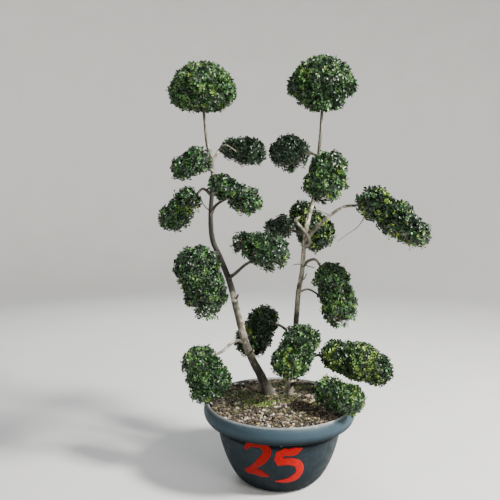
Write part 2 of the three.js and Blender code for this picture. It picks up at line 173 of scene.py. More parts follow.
Lobe = namedtuple("Lobe", "centre radii")
Limb = namedtuple("Limb", "points radii")
Order = namedtuple("Order", "area fewest share thick thin sides steps")
Wood = namedtuple("Wood", "starts bends ends thick thin sides steps")
Tone = namedtuple("Tone", "name colour back roughness")
Urge = namedtuple("Urge", "start sun patches waves")


def lobe(x, y, z, across, tall):
    """A rounded lump of foliage: its centre, half width and half height, in millimetres."""
    return Lobe(np.array([x, y, z]) * MM, np.array([across, across, tall]) * MM)


# The two stems in millimetres: route from the soil up, radius at foot and tip, pad and lobe of the tip
TRUNKS = {
    "trunk_left": (
        [
            (-38, 60, 289), (-63, 58, 357), (-98, 54, 426), (-124, 50, 490), (-156, 42, 609),
            (-186, 32, 734), (-222, 26, 830), (-250, 20, 898), (-257, 20, 984), (-250, 20, 1100),
            (-251, 22, 1195), (-267, 22, 1246), (-276, 20, 1330), (-281, 20, 1378),
        ],
        17, 4, ("left_top", 0)),
    "trunk_right": (
        [
            (42, 62, 289), (47, 62, 350), (57, 60, 448), (67, 56, 567), (76, 52, 700), (88, 50, 770),
            (97, 46, 892), (109, 44, 968), (131, 42, 1066), (141, 40, 1152), (148, 40, 1237),
            (154, 40, 1310), (157, 40, 1376),
        ],
        12, 4.5, ("right_top", 0)),
}

# The clipped pads, each made of one to three lobes that run into each other
PADS = {
    "left_top": [
        lobe(-285, 20, 1459, 116, 93), lobe(-322, 34, 1441, 90, 72), lobe(-244, 4, 1439, 90, 70)],
    "right_top": [
        lobe(156, 40, 1474, 120, 104), lobe(116, 26, 1450, 92, 80), lobe(200, 54, 1453, 92, 78)],
    "left_upper": [lobe(-295, -60, 1190, 54, 45), lobe(-350, -72, 1158, 46, 40)],
    "left_outer": [lobe(-348, 70, 1043, 56, 54), lobe(-401, 80, 978, 62, 52)],
    "left_inner": [
        lobe(-120, -110, 1039, 58, 51), lobe(-210, -68, 1096, 50, 44), lobe(-166, -90, 1066, 44, 38)],
    "centre_upper_left": [lobe(-110, 80, 1226, 60, 57), lobe(-172, 66, 1236, 50, 46)],
    "centre_upper_right": [lobe(45, 130, 1227, 80, 76)],
    "right_upper": [lobe(155, -80, 1096, 80, 66), lobe(170, -62, 1163, 68, 56)],
    "right_outer": [
        lobe(334, -62, 1034, 66, 61), lobe(402, -88, 978, 74, 68), lobe(470, -112, 925, 55, 50)],
    "right_back": [lobe(156, 190, 912, 78, 76), lobe(102, 172, 990, 56, 52)],
    "centre": [lobe(-47, -110, 864, 77, 71), lobe(-138, -78, 894, 44, 36)],
    "centre_back": [lobe(6, 110, 939, 58, 51)],
    "left_big": [lobe(-298, -110, 807, 85, 85), lobe(-263, -130, 714, 76, 92)],
    "right_low": [lobe(197, 30, 744, 71, 67), lobe(229, 10, 640, 72, 76)],
    "back_low": [lobe(-54, 200, 546, 66, 72), lobe(-98, 180, 474, 80, 62)],
    "front_low": [lobe(78, -66, 533, 72, 63), lobe(36, -84, 458, 74, 62)],
    "right_lower": [
        lobe(310, 60, 424, 85, 76), lobe(228, 66, 446, 64, 58), lobe(380, 52, 394, 64, 60)],
    "rim_right": [lobe(230, -168, 353, 66, 57), lobe(168, -128, 368, 54, 54)],
    "rim_left": [
        lobe(-294, -20, 438, 74, 69), lobe(-249, -48, 386, 70, 62), lobe(-286, -62, 340, 46, 36)],
}

# How full a pad is between two lobes that run into each other, as a share of their mean
WAIST = 0.93


def with_waists(lobes):
    """A pad's lobes, and one more between every two that run into each other."""
    waists = []
    for one, other in combinations(lobes, 2):
        if np.linalg.norm(one.centre - other.centre) < one.radii[0] + other.radii[0]:
            waists.append(Lobe((one.centre + other.centre) / 2, (one.radii + other.radii) / 2 * WAIST))
    return [*lobes, *waists]


for pad_name, pad_lobes in PADS.items():
    PADS[pad_name] = with_waists(pad_lobes)

# The boughs in millimetres: the stem that each leaves and at what height, the bends on its way, the pad
# and the lobe of it that it enters, and its radius at both ends
BOUGHS = {
    "bough_left_upper": ("trunk_left", 1150, [(-262, -12, 1168)], ("left_upper", 0), 5, 3),
    "bough_left_outer": ("trunk_left", 1064, [(-286, 38, 1089)], ("left_outer", 0), 5.5, 3.5),
    "bough_left_inner": (
        "trunk_left", 990, [(-236, -12, 1026), (-206, -48, 1046)], ("left_inner", 2), 5, 3.5),
    "bough_centre_upper_left": (
        "trunk_left", 1192, [(-241, 32, 1206), (-222, 48, 1238)], ("centre_upper_left", 1), 5, 3.2),
    "bough_left_big": ("trunk_left", 846, [(-246, -24, 852)], ("left_big", 0), 7, 4.5),
    "bough_centre": (
        "trunk_left", 752, [(-164, -8, 776), (-128, -52, 812)], ("centre", 0), 6, 4),
    "bough_rim_left": (
        "trunk_left", 478, [(-152, 38, 510), (-182, 22, 503), (-208, 4, 482)], ("rim_left", 0), 6, 4),
    "bough_back_low": (
        "trunk_right", 508, [(44, 84, 530), (10, 132, 548)], ("back_low", 0), 6, 4),
    "bough_front_low": ("trunk_right", 452, [(66, 14, 486)], ("front_low", 0), 6, 4),
    "bough_right_lower": (
        "trunk_right", 398, [(106, 62, 428), (150, 64, 446)], ("right_lower", 1), 6.5, 4.5),
    "bough_rim_right": (
        "trunk_right", 330, [(78, 12, 352), (122, -58, 372)], ("rim_right", 1), 6, 4),
    "bough_right_low": (
        "trunk_right", 796, [(114, 44, 818), (138, 38, 822)], ("right_low", 0), 5.5, 3.5),
    "bough_right_low_thin": ("trunk_right", 694, [(112, 42, 708)], ("right_low", 1), 3.2, 2.2),
    "bough_right_outer": (
        "trunk_right", 896, [(134, 28, 938), (178, 0, 984), (232, -32, 1022)], ("right_outer", 0), 7, 4),
    "bough_right_back": (
        "trunk_right", 866, [(114, 30, 886), (104, 19, 915), (80, 32, 946), (64, 72, 970)],
        ("right_back", 1), 5.5, 4),
    "bough_centre_back": ("trunk_right", 916, [(66, 70, 926)], ("centre_back", 0), 5, 3.5),
    "bough_right_upper": ("trunk_right", 1080, [(138, -2, 1092)], ("right_upper", 0), 6, 4),
    "bough_centre_upper_right": (
        "trunk_right", 1206, [(124, 66, 1222)], ("centre_upper_right", 0), 5, 3.5),
}

# Bare side shoots and pruned stubs on the wood, in millimetres: route, and radius at both ends
PALE_SPURS = {
    "fork_to_outer_bough": ([(124, 43, 1013), (148, 26, 1008), (184, -4, 990)], 2.6, 1.6),
    "arch_before_pad": (
        [(-226, 44, 1232), (-212, 22, 1247), (-194, 8, 1246), (-172, 5, 1233), (-160, 14, 1224)], 3.4, 1.8),
}
SPURS = {
    "across_stem": ([(97, 47, 800), (72, 30, 806), (50, 24, 802)], 3.0, 1.2),
    "across_stem_right": ([(90, 50, 803), (116, 34, 796), (134, 30, 792)], 2.6, 1.4),
    "below_outer_pad": ([(304, -58, 992), (280, -58, 953), (242, -56, 924), (207, -54, 898)], 1.7, 0.8),
    "left_side": ([(-254, 20, 1000), (-282, 8, 1030), (-290, 2, 1052)], 2.4, 1.2),
    "left_stub": ([(-247, 20, 1090), (-232, 4, 1100), (-226, -4, 1112)], 2.8, 2.0),
    "right_stub": ([(81, 50, 735), (96, 30, 752), (104, 22, 772)], 3.0, 2.0),
    "right_upper_stub": ([(140, 40, 1150), (152, 30, 1168), (158, 24, 1190)], 2.2, 1.4),
    "left_pruned": ([(-170, 38, 666), (-158, 20, 682), (-154, 12, 694)], 4.2, 3.4),
    "right_pruned": ([(60, 60, 474), (52, 38, 488), (50, 30, 498)], 3.8, 3.0),
    "left_foot_pruned": ([(-112, 52, 458), (-100, 32, 470), (-96, 24, 476)], 5.0, 4.4),
}

# Pads that are joined into one piece of each kind
CLUMPS = {
    "left_top": ["left_top"],
    "right_top": ["right_top"],
    "left_upper": ["left_upper", "left_outer", "left_inner", "centre_upper_left"],
    "left_lower": ["left_big", "centre", "rim_left"],
    "right_upper": ["centre_upper_right", "right_upper", "right_outer"],
    "right_middle": ["right_back", "centre_back", "right_low"],
    "right_lower": ["back_low", "front_low", "right_lower", "rim_right"],
}

# Each pad's share of young growth on its sunny side, and of old, dark leaves all over, partly the plant's
# growth
# and partly painted light and shade: pads in shade get more old, dark leaves, and pads meant to look sunlit
# more young ones
AGES = {
    "left_top": (0.24, 0.08), "right_top": (0.15, 0.30), "left_upper": (0.52, 0.28),
    "left_outer": (0.80, 0.28), "left_inner": (0.28, 0.18), "centre_upper_left": (0.03, 0.70),
    "centre_upper_right": (0.03, 0.86), "right_upper": (0.40, 0.08), "right_outer": (1.40, 0.50),
    "right_back": (1.10, 0.74), "centre": (0.08, 0.42), "centre_back": (0.04, 0.74),
    "left_big": (0.20, 0.36), "right_low": (0.52, 0.06), "back_low": (0.42, 0.82),
    "front_low": (0.34, 0.14), "right_lower": (1.20, 0.48), "rim_right": (1.00, 0.0),
    "rim_left": (0.24, 0.12),
}
SUNNY_SIDE = np.array([0.45, -0.50, 0.75])

# The lobe of a pad that other pads shade, and the shares that it then has
SHADED_LOBES = {"centre": 1, "centre_upper_left": 1}
SHADED_AGES = (0.0, 0.95)

# Orders of twigs inside a lobe: outline surface for each, fewest, how far out they end, and their wood
ORDERS = (
    Order(0.0175, 3, 0.42, 2.2 * MM, 1.6 * MM, 5, 5),
    Order(0.0026, 8, 0.66, 1.6 * MM, 1.1 * MM, 4, 4),
    Order(0.00065, 24, 0.82, 1.1 * MM, 0.75 * MM, 3, 3),
)
SHOOT_THICK = 0.75 * MM
SHOOT_THIN = 0.4 * MM

# The stems inside a pad: radius on the way to a further lobe, and the share of it left at the tip
INNER_STEM = 3 * MM
STEM_TAPER = 0.65

# How far stems and twigs bend as shares of their length, and how far they and shoots point off their place
STEM_BEND = 0.04
TWIG_BEND = 0.07
TWIG_JITTER = 0.35
SHOOT_JITTER = 0.5

# A shoot: how far it first leans off the lobe's middle, where and how unevenly it bends, and how unevenly
# it points
SHOOT_LEAN = 0.5
BEND_PLACE = 0.33
BEND_UNEVEN = 1.6 * MM
POINT_UNEVEN = 0.2

# How leaves sit on a shoot: their lean in degrees at its tip, and how much more further in, how far they
# face up, the leafy stretch in leaf lengths and its crowding to the tip, the size of the tip's leaf, how
# fast leaves grow to their full size further in, and how far from the shoot they start, in millimetres
TIP_LEAN = 28
MORE_LEAN = 58
FACE_UP = 0.30
LEAFY_STRETCH = 1.75
CROWDING = 0.9
TIP_LEAF = 0.62
LEAF_GROWTH = 3
LEAF_START = 0.6

# The ages of leaf, the share of a shoot's leaves that see the light, as those further in are drawn old and
# dark, partly for their age and partly as painted shade, how many more are drawn old on the shaded side as
# painted shade, and how rare fresh leaves are and how much less so in the sun
OLD_AND_SHADED, FULL, FRESH, YOUNG = range(4)
OUTER_LEAVES = 0.7
SHADE_OLD = 0.26
FRESH_FROM = 0.50
FRESH_BY_SUN = 0.25

# What makes leaves fresh or young: a start, what the sunny side adds, and what patches add, with their
# waves per metre
FRESH_URGE = Urge(0.15, 0.75, 0.9, 26)
YOUNG_URGE = Urge(-0.20, 1.3, 1.6, 13)

# A leaf's points as shares of its length, width and length: outline from the base, then its middle
LEAF_FORM = np.array([
    (0.00, 0.00, 0.00), (0.30, 0.44, -0.05), (0.68, 0.47, -0.07), (1.00, 0.00, -0.12),
    (0.68, -0.47, -0.07), (0.30, -0.44, -0.05), (0.50, 0.00, 0.06),
])

# The digits painted on the pot, in millimetres: how bright the paint is drawn, the first digit's lower
# value being painted shade, the digit's middle, and its brush strokes round that
DIGITS = {
    "two": (0.55, (-90, 150), [
        [(-44, 34), (-26, 60), (10, 66), (36, 44), (26, 10), (-12, -30), (-46, -58)],
        [(-48, -56), (-10, -50), (46, -62)],
    ]),
    "five": (1.0, (22, 131), [
        [(-28, 62), (6, 58), (48, 70)],
        [(-26, 64), (-34, 36), (-36, 8)],
        [(-40, 10), (-4, 22), (34, 8), (40, -26), (10, -56), (-44, -64)],
    ]),
}

# The paint's gap from the wall and its thickness, and a brush stroke's width at its start and its end, as
# a share of the full one, each with how fast it widens from there, and how uneven its edges are
PAINT_GAP = 0.2 * MM
PAINT_THICK = 0.5 * MM
STROKE_START = (0.35, 4.5)
STROKE_END = (0.16, 2.6)
STROKE_UNEVEN = 0.16

# Mulch: from which rank on each tone lies, its share of the crumbs, and its dark and light colour, and a
# crumb's length as a share of a chip's
MULCH = {
    "dark": (0.0, 0.40, (0.014, 0.011, 0.008), (0.036, 0.028, 0.019)),
    "brown": (0.38, 0.26, (0.030, 0.021, 0.013), (0.070, 0.051, 0.031)),
    "tan": (0.79, 0.10, (0.076, 0.058, 0.037), (0.150, 0.118, 0.077)),
    "pale": (0.92, 0.07, (0.23, 0.195, 0.150), (0.52, 0.450, 0.355)),
}
CRUMB_LENGTH = 0.34

# Fallen leaves: their number, and their dark and light colour
FALLEN = {
    "yellow": (120, (0.24, 0.19, 0.06), (0.40, 0.33, 0.12)),
    "brown": (420, (0.060, 0.038, 0.020), (0.15, 0.096, 0.050)),
}

# Moss: middle and spread of each patch in millimetres, and its number of leaves
FRESH_MOSS = [
    ((-70, -62), (48, 24), 900), ((-112, -26), (50, 26), 240), ((-20, -34), (34, 16), 180),
    ((33, -22), (10, 10), 60), ((150, -40), (50, 40), 110),
]
OLD_MOSS = [
    ((-140, 50), (90, 70), 1500), ((0, 10), (110, 50), 500), ((60, 150), (120, 70), 1300),
    ((-150, -70), (60, 60), 260), ((40, -150), (120, 50), 240),
]

# The floor, which sweeps up into a wall: its radius, the sweep's radius, and the wall's height
STAGE_RADIUS = 6.5
STAGE_SWEEP = 2
STAGE_HEIGHT = 5.5

# The lights: place, width, power in watts and colour, where they aim, and the sky's colour and strength
LIGHTS = {
    "key_light": ((3.35, -1.65, 3.5), 0.8, 840, (1.0, 0.97, 0.92)),
    "fill_light": ((2.0, -3.3, 2.4), 1.6, 95, (1.0, 0.99, 0.96)),
    "rim_light": ((-1.2, 3.0, 2.8), 2.2, 95, (0.92, 0.97, 1.0)),
}
LIGHT_AIM = (0, 0, 0.8)
SKY_COLOUR = (0.86, 0.90, 0.93, 1)
SKY_STRENGTH = 0.36

# The photo's camera: lens and sensor in millimetres, place, and tilt in degrees
LENS = 40.32
SENSOR = 36
CAMERA_PLACE = (-0.110, -2.073, 1.036)
CAMERA_TILT = 85.2

# A chip's eight corners and six faces
BOX_CORNERS = np.array([
    (-1, -1, -1), (1, -1, -1), (1, 1, -1), (-1, 1, -1), (-1, -1, 1), (1, -1, 1), (1, 1, 1), (-1, 1, 1)]) / 2
BOX_FACES = np.array([
    (0, 3, 2, 1), (4, 5, 6, 7), (0, 1, 5, 4), (1, 2, 6, 5), (2, 3, 7, 6), (3, 0, 4, 7)])


class PotSettings(PropertyGroup):
    """Sizes and colours of the pot."""

    wall: FloatProperty(name="Wall", description="Thickness of the bowl", default=4.5 * MM, unit="LENGTH")
    skirt: FloatProperty(
        name="Skirt", description="Thickness of the hanging rim", default=4 * MM, unit="LENGTH")
    plastic: FloatVectorProperty(
        name="Plastic", description="Colour of the plastic", default=(0.017, 0.031, 0.041),
        size=3, subtype="COLOR")
    paint: FloatVectorProperty(
        name="Paint", description="Colour of the painted digits", default=(0.40, 0.001, 0.0004),
        size=3, subtype="COLOR")
    stroke: FloatProperty(
        name="Stroke", description="Widest brush stroke of the digits", default=29 * MM, unit="LENGTH")


class SoilSettings(PropertyGroup):
    """What lies in the pot."""

    chips: IntProperty(name="Chips", description="Number of mulch chips", default=5200, min=0)
    chip_length: FloatProperty(
        name="Chip length", description="Length of a middling chip", default=12 * MM, unit="LENGTH")
    humus: FloatVectorProperty(
        name="Humus", description="Colour of the soil under the chips", default=(0.026, 0.018, 0.012),
        size=3, subtype="COLOR")
    moss: FloatVectorProperty(
        name="Moss", description="Colour of moss and small weeds", default=(0.18, 0.28, 0.046),
        size=3, subtype="COLOR")


class BarkSettings(PropertyGroup):
    """Colours and relief of the bark."""

    pale: FloatVectorProperty(
        name="Pale bark", description="Colour of the smooth bark", default=(0.42, 0.39, 0.305),
        size=3, subtype="COLOR")
    # Besides rough bark, this dark colour paints the limbs' shadow stretches
    dark: FloatVectorProperty(
        name="Dark bark", description="Colour of old and rough bark", default=(0.034, 0.032, 0.024),
        size=3, subtype="COLOR")
    relief: FloatProperty(
        name="Relief", description="Height of the bark's lumps, as a share of the radius", default=0.16)


class FoliageSettings(PropertyGroup):
    """Sizes, density and colours of the leaves."""

    leaf_length: FloatProperty(
        name="Leaf length", description="Length of a full-grown leaf", default=14 * MM, unit="LENGTH")
    leaf_width: FloatProperty(
        name="Leaf width", description="Width of a full-grown leaf", default=7.9 * MM, unit="LENGTH")
    leaves: IntProperty(name="Leaves", description="Leaves on each shoot", default=11, min=1)
    shoot_area: FloatProperty(
        name="Area per shoot", description="Outline surface for each shoot", default=0.00019, unit="AREA")
    old: FloatVectorProperty(
        name="Old leaf", description="Colour of old and shaded leaves", default=(0.008, 0.023, 0.009),
        size=3, subtype="COLOR")
    full: FloatVectorProperty(
        name="Full-grown leaf", description="Colour of full-grown leaves", default=(0.034, 0.108, 0.031),
        size=3, subtype="COLOR")
    fresh: FloatVectorProperty(
        name="Fresh leaf", description="Colour of this year's leaves", default=(0.092, 0.225, 0.056),
        size=3, subtype="COLOR")
    young: FloatVectorProperty(
        name="Young leaf", description="Colour of the newest leaves", default=(0.27, 0.41, 0.060),
        size=3, subtype="COLOR")


def settings(name):
    """One group of the values that a user would change."""
    return getattr(bpy.context.scene, f"topiary_{name}")


def numbers_for(name):
    """Random numbers that a name always gives alike."""
    return np.random.default_rng(zlib.crc32(name.encode()))


def unit(vectors):
    return vectors / np.linalg.norm(vectors, axis=-1, keepdims=True)


def patchiness(points, scale):
    """Smooth noise from about -1 to 1 at each point."""
    return np.array([noise.noise(Vector(point) * scale) for point in points])


# Objects and meshes

def select_only(piece):
    bpy.ops.object.select_all(action="DESELECT")
    piece.select_set(True)
    bpy.context.view_layer.objects.active = piece


@contextmanager
def editing(piece):
    """Edit mode on one piece, with all of it selected."""
    select_only(piece)
    bpy.ops.object.mode_set(mode="EDIT")
    bpy.ops.mesh.select_all(action="SELECT")
    yield
    bpy.ops.object.mode_set(mode="OBJECT")


def primitive(add, **values):
    """A new primitive, which alone is selected."""
    bpy.ops.object.select_all(action="DESELECT")
    add(**values)
    return bpy.context.object


def placed(name, data):
    """A new object in the scene."""
    holder = bpy.data.objects.new(name, data)
    bpy.context.scene.collection.objects.link(holder)
    return holder


def apply_modifiers(piece):
    select_only(piece)
    for modifier in list(piece.modifiers):
        bpy.ops.object.modifier_apply(modifier=modifier.name)


def join(pieces):
    """One piece from several."""
    select_only(pieces[0])
    for piece in pieces:
        piece.select_set(True)
    bpy.ops.object.join()
    return bpy.context.object


def points_of(piece):
    places = np.empty(len(piece.data.vertices) * 3)
    piece.data.vertices.foreach_get("co", places)
    return places.reshape(-1, 3)


def move_points(piece, places):
    piece.data.vertices.foreach_set("co", np.asarray(places, float).ravel())
    piece.data.update()


def carry(piece, name, places):
    """Gives a piece's mesh coordinates of its own, which its material reads."""
    attribute = piece.data.attributes.new(name, "FLOAT_VECTOR", "POINT")
    attribute.data.foreach_set("vector", places.ravel())


def displace(piece, name, size, strength, group=""):
    """Cloudy relief pushed out of a surface, as real geometry."""
    texture = bpy.data.textures.new(name, "CLOUDS")
    texture.noise_scale = size
    texture.noise_depth = 3
    modifier = piece.modifiers.new(name, "DISPLACE")
    modifier.texture = texture
    modifier.texture_coords = "LOCAL"
    modifier.strength = strength
    modifier.mid_level = 0.5
    modifier.vertex_group = group
    apply_modifiers(piece)


def finish_piece(piece, name, material, nodes=(), smooth=False):
    """Names a piece, puts its place into its mesh and fixes it to the plant."""
    select_only(piece)
    bpy.ops.object.transform_apply(location=True, rotation=True, scale=True)
    piece.name = name
    piece.data.name = name
    piece.data.materials.clear()
    piece.data.materials.append(material)
    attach(piece, "root")
    if nodes:
        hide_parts(*nodes)
    if smooth:
        bpy.ops.object.shade_smooth()


def mesh_piece(points, faces, name, material, slot, nodes=(), smooth=True):
    """A finished piece from arrays: its points, and faces with equal numbers of corners."""
    mesh = bpy.data.meshes.new(name)
    count, corners = faces.shape
    mesh.vertices.add(len(points))
    mesh.vertices.foreach_set("co", np.ascontiguousarray(points, np.float32).ravel())
    mesh.loops.add(count * corners)
    mesh.loops.foreach_set("vertex_index", np.ascontiguousarray(faces, np.int32).ravel())
    mesh.polygons.add(count)
    mesh.polygons.foreach_set("loop_start", np.arange(0, count * corners, corners, dtype=np.int32))
    mesh.polygons.foreach_set("use_smooth", np.full(count, smooth))
    mesh.update(calc_edges=True)
    finish_piece(placed(name, mesh), name, material, nodes)


def stacked(parts):
    """Joins (points, faces) pairs into one pair."""
    points = []
    faces = []
    used = 0
    for part_points, part_faces in parts:
        points.append(part_points)
        faces.append(part_faces + used)
        used += len(part_points)
    return np.vstack(points), np.vstack(faces)


def copies_of(faces, corners, count):
    """The faces of many like forms, whose points follow each other."""
    return (faces[None] + (np.arange(count) * corners)[:, None, None]).reshape(-1, faces.shape[1])


# Shader nodes

def new_group(name, numbers, result):
    """A shader node group that takes a vector and named numbers, and the sockets of its two end nodes."""
    group = bpy.data.node_groups.new(name, "ShaderNodeTree")
    group.interface.new_socket(name="Vector", in_out="INPUT", socket_type="NodeSocketVector")
    for label, value in numbers.items():
        socket = group.interface.new_socket(name=label, in_out="INPUT", socket_type="NodeSocketFloat")
        socket.default_value = value
    group.interface.new_socket(name=result, in_out="OUTPUT", socket_type="NodeSocketFloat")
    return group, group.nodes.new("NodeGroupInput").outputs, group.nodes.new("NodeGroupOutput").inputs


def feed(tree, target, source):
    """Joins a socket to another, or sets its value."""
    if isinstance(source, bpy.types.NodeSocket):
        tree.links.new(source, target)
    else:
        target.default_value = source


def add_node(tree, kind, inputs=(), **values):
    """A node with its options and inputs set."""
    node = tree.nodes.new(f"ShaderNode{kind}")
    for key, value in values.items():
        setattr(node, key, value)
    for label, source in inputs:
        feed(tree, node.inputs[label], source)
    return node


def calculate(tree, operation, first, second):
    return add_node(tree, "Math", [(0, first), (1, second)], operation=operation).outputs[0]


def product(tree, first, second):
    return calculate(tree, "MULTIPLY", first, second)


def mix(tree, factor, first, second):
    """The colour between two colours. A Mix node keeps its colour sockets after those of other kinds."""
    node = add_node(tree, "Mix", data_type="RGBA")
    for index, source in ((0, factor), (6, first), (7, second)):
        feed(tree, node.inputs[index], source)
    return node.outputs[2]


def tinted(colour, factor=1.0):
    """A lighter or darker colour, opaque."""
    return (*(min(1.0, part * factor) for part in colour[:3]), 1.0)


def ranged(tree, value, low, high, to_low=0.0, to_high=1.0, **options):
    """A value's place between two others, carried over to between two new ones."""
    return add_node(tree, "MapRange", [
        ("Value", value), ("From Min", low), ("From Max", high), ("To Min", to_low),
        ("To Max", to_high)], **options).outputs["Result"]


def patch_group():
    """Soft-edged patches: 1 on the given share of the surface and 0 on the rest."""
    group, given, out = new_group("patches", {"Scale": 10.0, "Amount": 0.5, "Softness": 0.1}, "Mask")
    cloud = add_node(group, "TexNoise", [
        ("Vector", given["Vector"]), ("Scale", given["Scale"]), ("Detail", 6.0), ("Roughness", 0.62)])
    middle = calculate(group, "SUBTRACT", 0.65, product(group, given["Amount"], 0.3))
    low = calculate(group, "SUBTRACT", middle, given["Softness"])
    high = calculate(group, "ADD", middle, given["Softness"])
    mask = ranged(group, cloud.outputs["Fac"], low, high, interpolation_type="SMOOTHSTEP")
    group.links.new(mask, out["Mask"])
    return group


def relief_group():
    """A coarse and a fine grain, added up as a height."""
    group, given, out = new_group("relief", {"Coarse": 50.0, "Fine": 400.0, "Fine share": 0.3}, "Height")
    coarse, fine = (
        add_node(group, "TexNoise", [
            ("Vector", given["Vector"]), ("Scale", given[label]), ("Detail", detail)]).outputs["Fac"]
        for label, detail in (("Coarse", 4.0), ("Fine", 3.0)))
    height = calculate(group, "ADD", coarse, product(group, fine, given["Fine share"]))
    group.links.new(height, out["Height"])
    return group


def stretched(tree, place, scale):
    """Coordinates squeezed or drawn out along the axes."""
    return add_node(tree, "Mapping", [("Vector", place), ("Scale", scale)]).outputs["Vector"]


def patches(tree, place, scale, amount, softness, stretch=None):
    """A mask of soft-edged patches, which may be squeezed or drawn out along the axes."""
    if stretch:
        place = stretched(tree, place, stretch)
    return add_node(tree, "Group", [
        ("Vector", place), ("Scale", scale), ("Amount", amount), ("Softness", softness)],
        node_tree=bpy.data.node_groups.get("patches") or patch_group()).outputs["Mask"]


def grain(tree, place, coarse, fine, share):
    """The height of a coarse and a fine grain, with the fine one's share."""
    return add_node(tree, "Group", [
        ("Vector", place), ("Coarse", coarse), ("Fine", fine), ("Fine share", share)],
        node_tree=bpy.data.node_groups.get("relief") or relief_group()).outputs["Height"]


def object_place(tree):
    return add_node(tree, "TexCoord").outputs["Object"]


def own_place(tree, name):
    """Coordinates that a piece carries in its mesh."""
    return add_node(tree, "Attribute", attribute_name=name).outputs["Vector"]


def height_of(tree, place):
    return add_node(tree, "SeparateXYZ", [("Vector", place)]).outputs["Z"]


def washed(tree, tone, mask, strength, colour):
    """A tone with a colour laid over it by a mask, at most as strong as given."""
    return mix(tree, ranged(tree, mask, 0, 1, 0, strength), tone, colour)


# Materials

def new_material(name):
    """A material, its node tree and its main shader."""
    material = bpy.data.materials.new(name)
    material.use_nodes = True
    tree = material.node_tree
    return material, tree, tree.nodes["Principled BSDF"]


def coat(tree, shader, tone, roughness, gloss=0.5):
    """Gives a shader its colour, roughness and gloss."""
    feed(tree, shader.inputs["Base Color"], tone)
    feed(tree, shader.inputs["Roughness"], roughness)
    feed(tree, shader.inputs["Specular IOR Level"], gloss)


def add_bump(tree, shader, height, distance, strength):
    bump = add_node(tree, "Bump", [("Height", height), ("Distance", distance), ("Strength", strength)])
    tree.links.new(bump.outputs["Normal"], shader.inputs["Normal"])


def plastic_material():
    """Satin moulded plastic with dust, faint runs and scuffs, darker in patches towards the foot, a rim
    band drawn lighter, partly sun-bleached and partly painted light from above, painted light on the inside
    over the soil, and painted shade under the skirt and on faces that look down.
    """
    colour = settings("pot").plastic
    material, tree, shader = new_material("slate_plastic")
    place = object_place(tree)
    height = height_of(tree, place)
    facing = height_of(tree, add_node(tree, "NewGeometry").outputs["Normal"])

    def by_height(low, high, *ends):
        """A rise or fall between two heights over the shoulder, in millimetres."""
        return ranged(tree, height, SHOULDER_HEIGHT + low * MM, SHOULDER_HEIGHT + high * MM, *ends)

    tone = mix(tree, patches(tree, place, 7.0, 0.5, 0.12), tinted(colour, 0.54), tinted(colour, 0.70))
    # Partly sun-bleaching and partly painted light from above: the rim band over the shoulder is drawn much
    # lighter than the bowl
    tone = mix(tree, by_height(-6, 6), tone, tinted(colour, 1.55))
    runs = patches(tree, place, 1.0, 0.25, 0.08, (55, 55, 2.4))
    tone = washed(tree, tone, runs, 0.30, (0.030, 0.043, 0.050, 1))
    spots = patches(tree, place, 38.0, 0.5, 0.10)
    dust = product(tree, ranged(tree, facing, 0.25, 0.95), spots)
    tone = washed(tree, tone, dust, 0.45, (0.085, 0.090, 0.088, 1))
    # Painted light: the inside wall and the lip's top over the soil are drawn pale, in uneven patches, as
    # if lit
    around = add_node(tree, "VectorMath", [(0, stretched(tree, place, (1, 1, 0)))], operation="LENGTH")
    inward = ranged(tree, around.outputs["Value"], LIP_RADIUS + 1 * MM, LIP_RADIUS + 6 * MM, 1.0, 0.0)
    inner_light_patches = ranged(tree, patches(tree, place, 16.0, 0.7, 0.25), 0, 1, 0.35, 0.75)
    inner = product(tree, product(tree, inward, by_height(10, 16)), inner_light_patches)
    tone = mix(tree, inner, tone, (0.27, 0.285, 0.28, 1))
    scuffs = patches(tree, place, 1.0, 0.12, 0.03, (26, 26, 170))
    tone = washed(tree, tone, scuffs, 0.22, (0.050, 0.070, 0.082, 1))
    # Darker in patches towards the foot
    towards_foot = ranged(tree, height, 0.0, 60 * MM, 0.38, 0.0)
    darker_low_patches = product(tree, towards_foot, patches(tree, place, 24.0, 0.5, 0.12))
    tone = mix(tree, darker_low_patches, tone, (0.040, 0.038, 0.032, 1))
    # Painted shadow: a dark band on the bowl's wall just under the skirt's hanging edge
    painted_skirt_shadow = product(tree, by_height(-33, -23), by_height(-2.4, -1.8, 0.92, 0.0))
    tone = mix(tree, painted_skirt_shadow, tone, tinted(colour, 0.12))
    # Painted shade: faces that look down are drawn darker
    painted_underside_shade = ranged(tree, facing, -0.60, -0.05, 1.0, 0.0)
    tone = washed(tree, tone, painted_underside_shade, 0.85, tinted(colour, 0.22))
    # Where either painted shade lies, the gloss is lowered too
    painted_shade_places = calculate(tree, "MAXIMUM", painted_underside_shade, painted_skirt_shadow)
    dull = ranged(tree, spots, 0, 1, 0.42, 0.56)
    coat(tree, shader, tone, dull, ranged(tree, painted_shade_places, 0, 1, 0.14, 0.02))
    add_bump(tree, shader, grain(tree, place, 16.0, 520.0, 0.10), 0.6 * MM, 0.5)
    return material


def paint_material(name, strength):
    """Brushed-on red paint, streaky along the strokes and thin where the brush ran dry."""
    # The strength scales the digit's whole colour: the first digit's lower strength is painted shade
    colour = tinted(settings("pot").paint, strength)
    material, tree, shader = new_material(name)
    strokes = own_place(tree, "stroke")
    streaks = patches(tree, strokes, 1.0, 0.60, 0.12, (2.2, 15, 1))
    tone = mix(tree, streaks, tinted(colour, 0.62), tinted(colour, 1.12))
    dry = patches(tree, strokes, 1.0, 0.14, 0.04, (6, 34, 1))
    tone = washed(tree, tone, dry, 0.55, tinted((0.13, 0.008, 0.008), strength))
    coat(tree, shader, tone, ranged(tree, streaks, 0, 1, 0.55, 0.38), 0.08)
    add_bump(tree, shader, streaks, 0.4 * MM, 0.6)
    return material


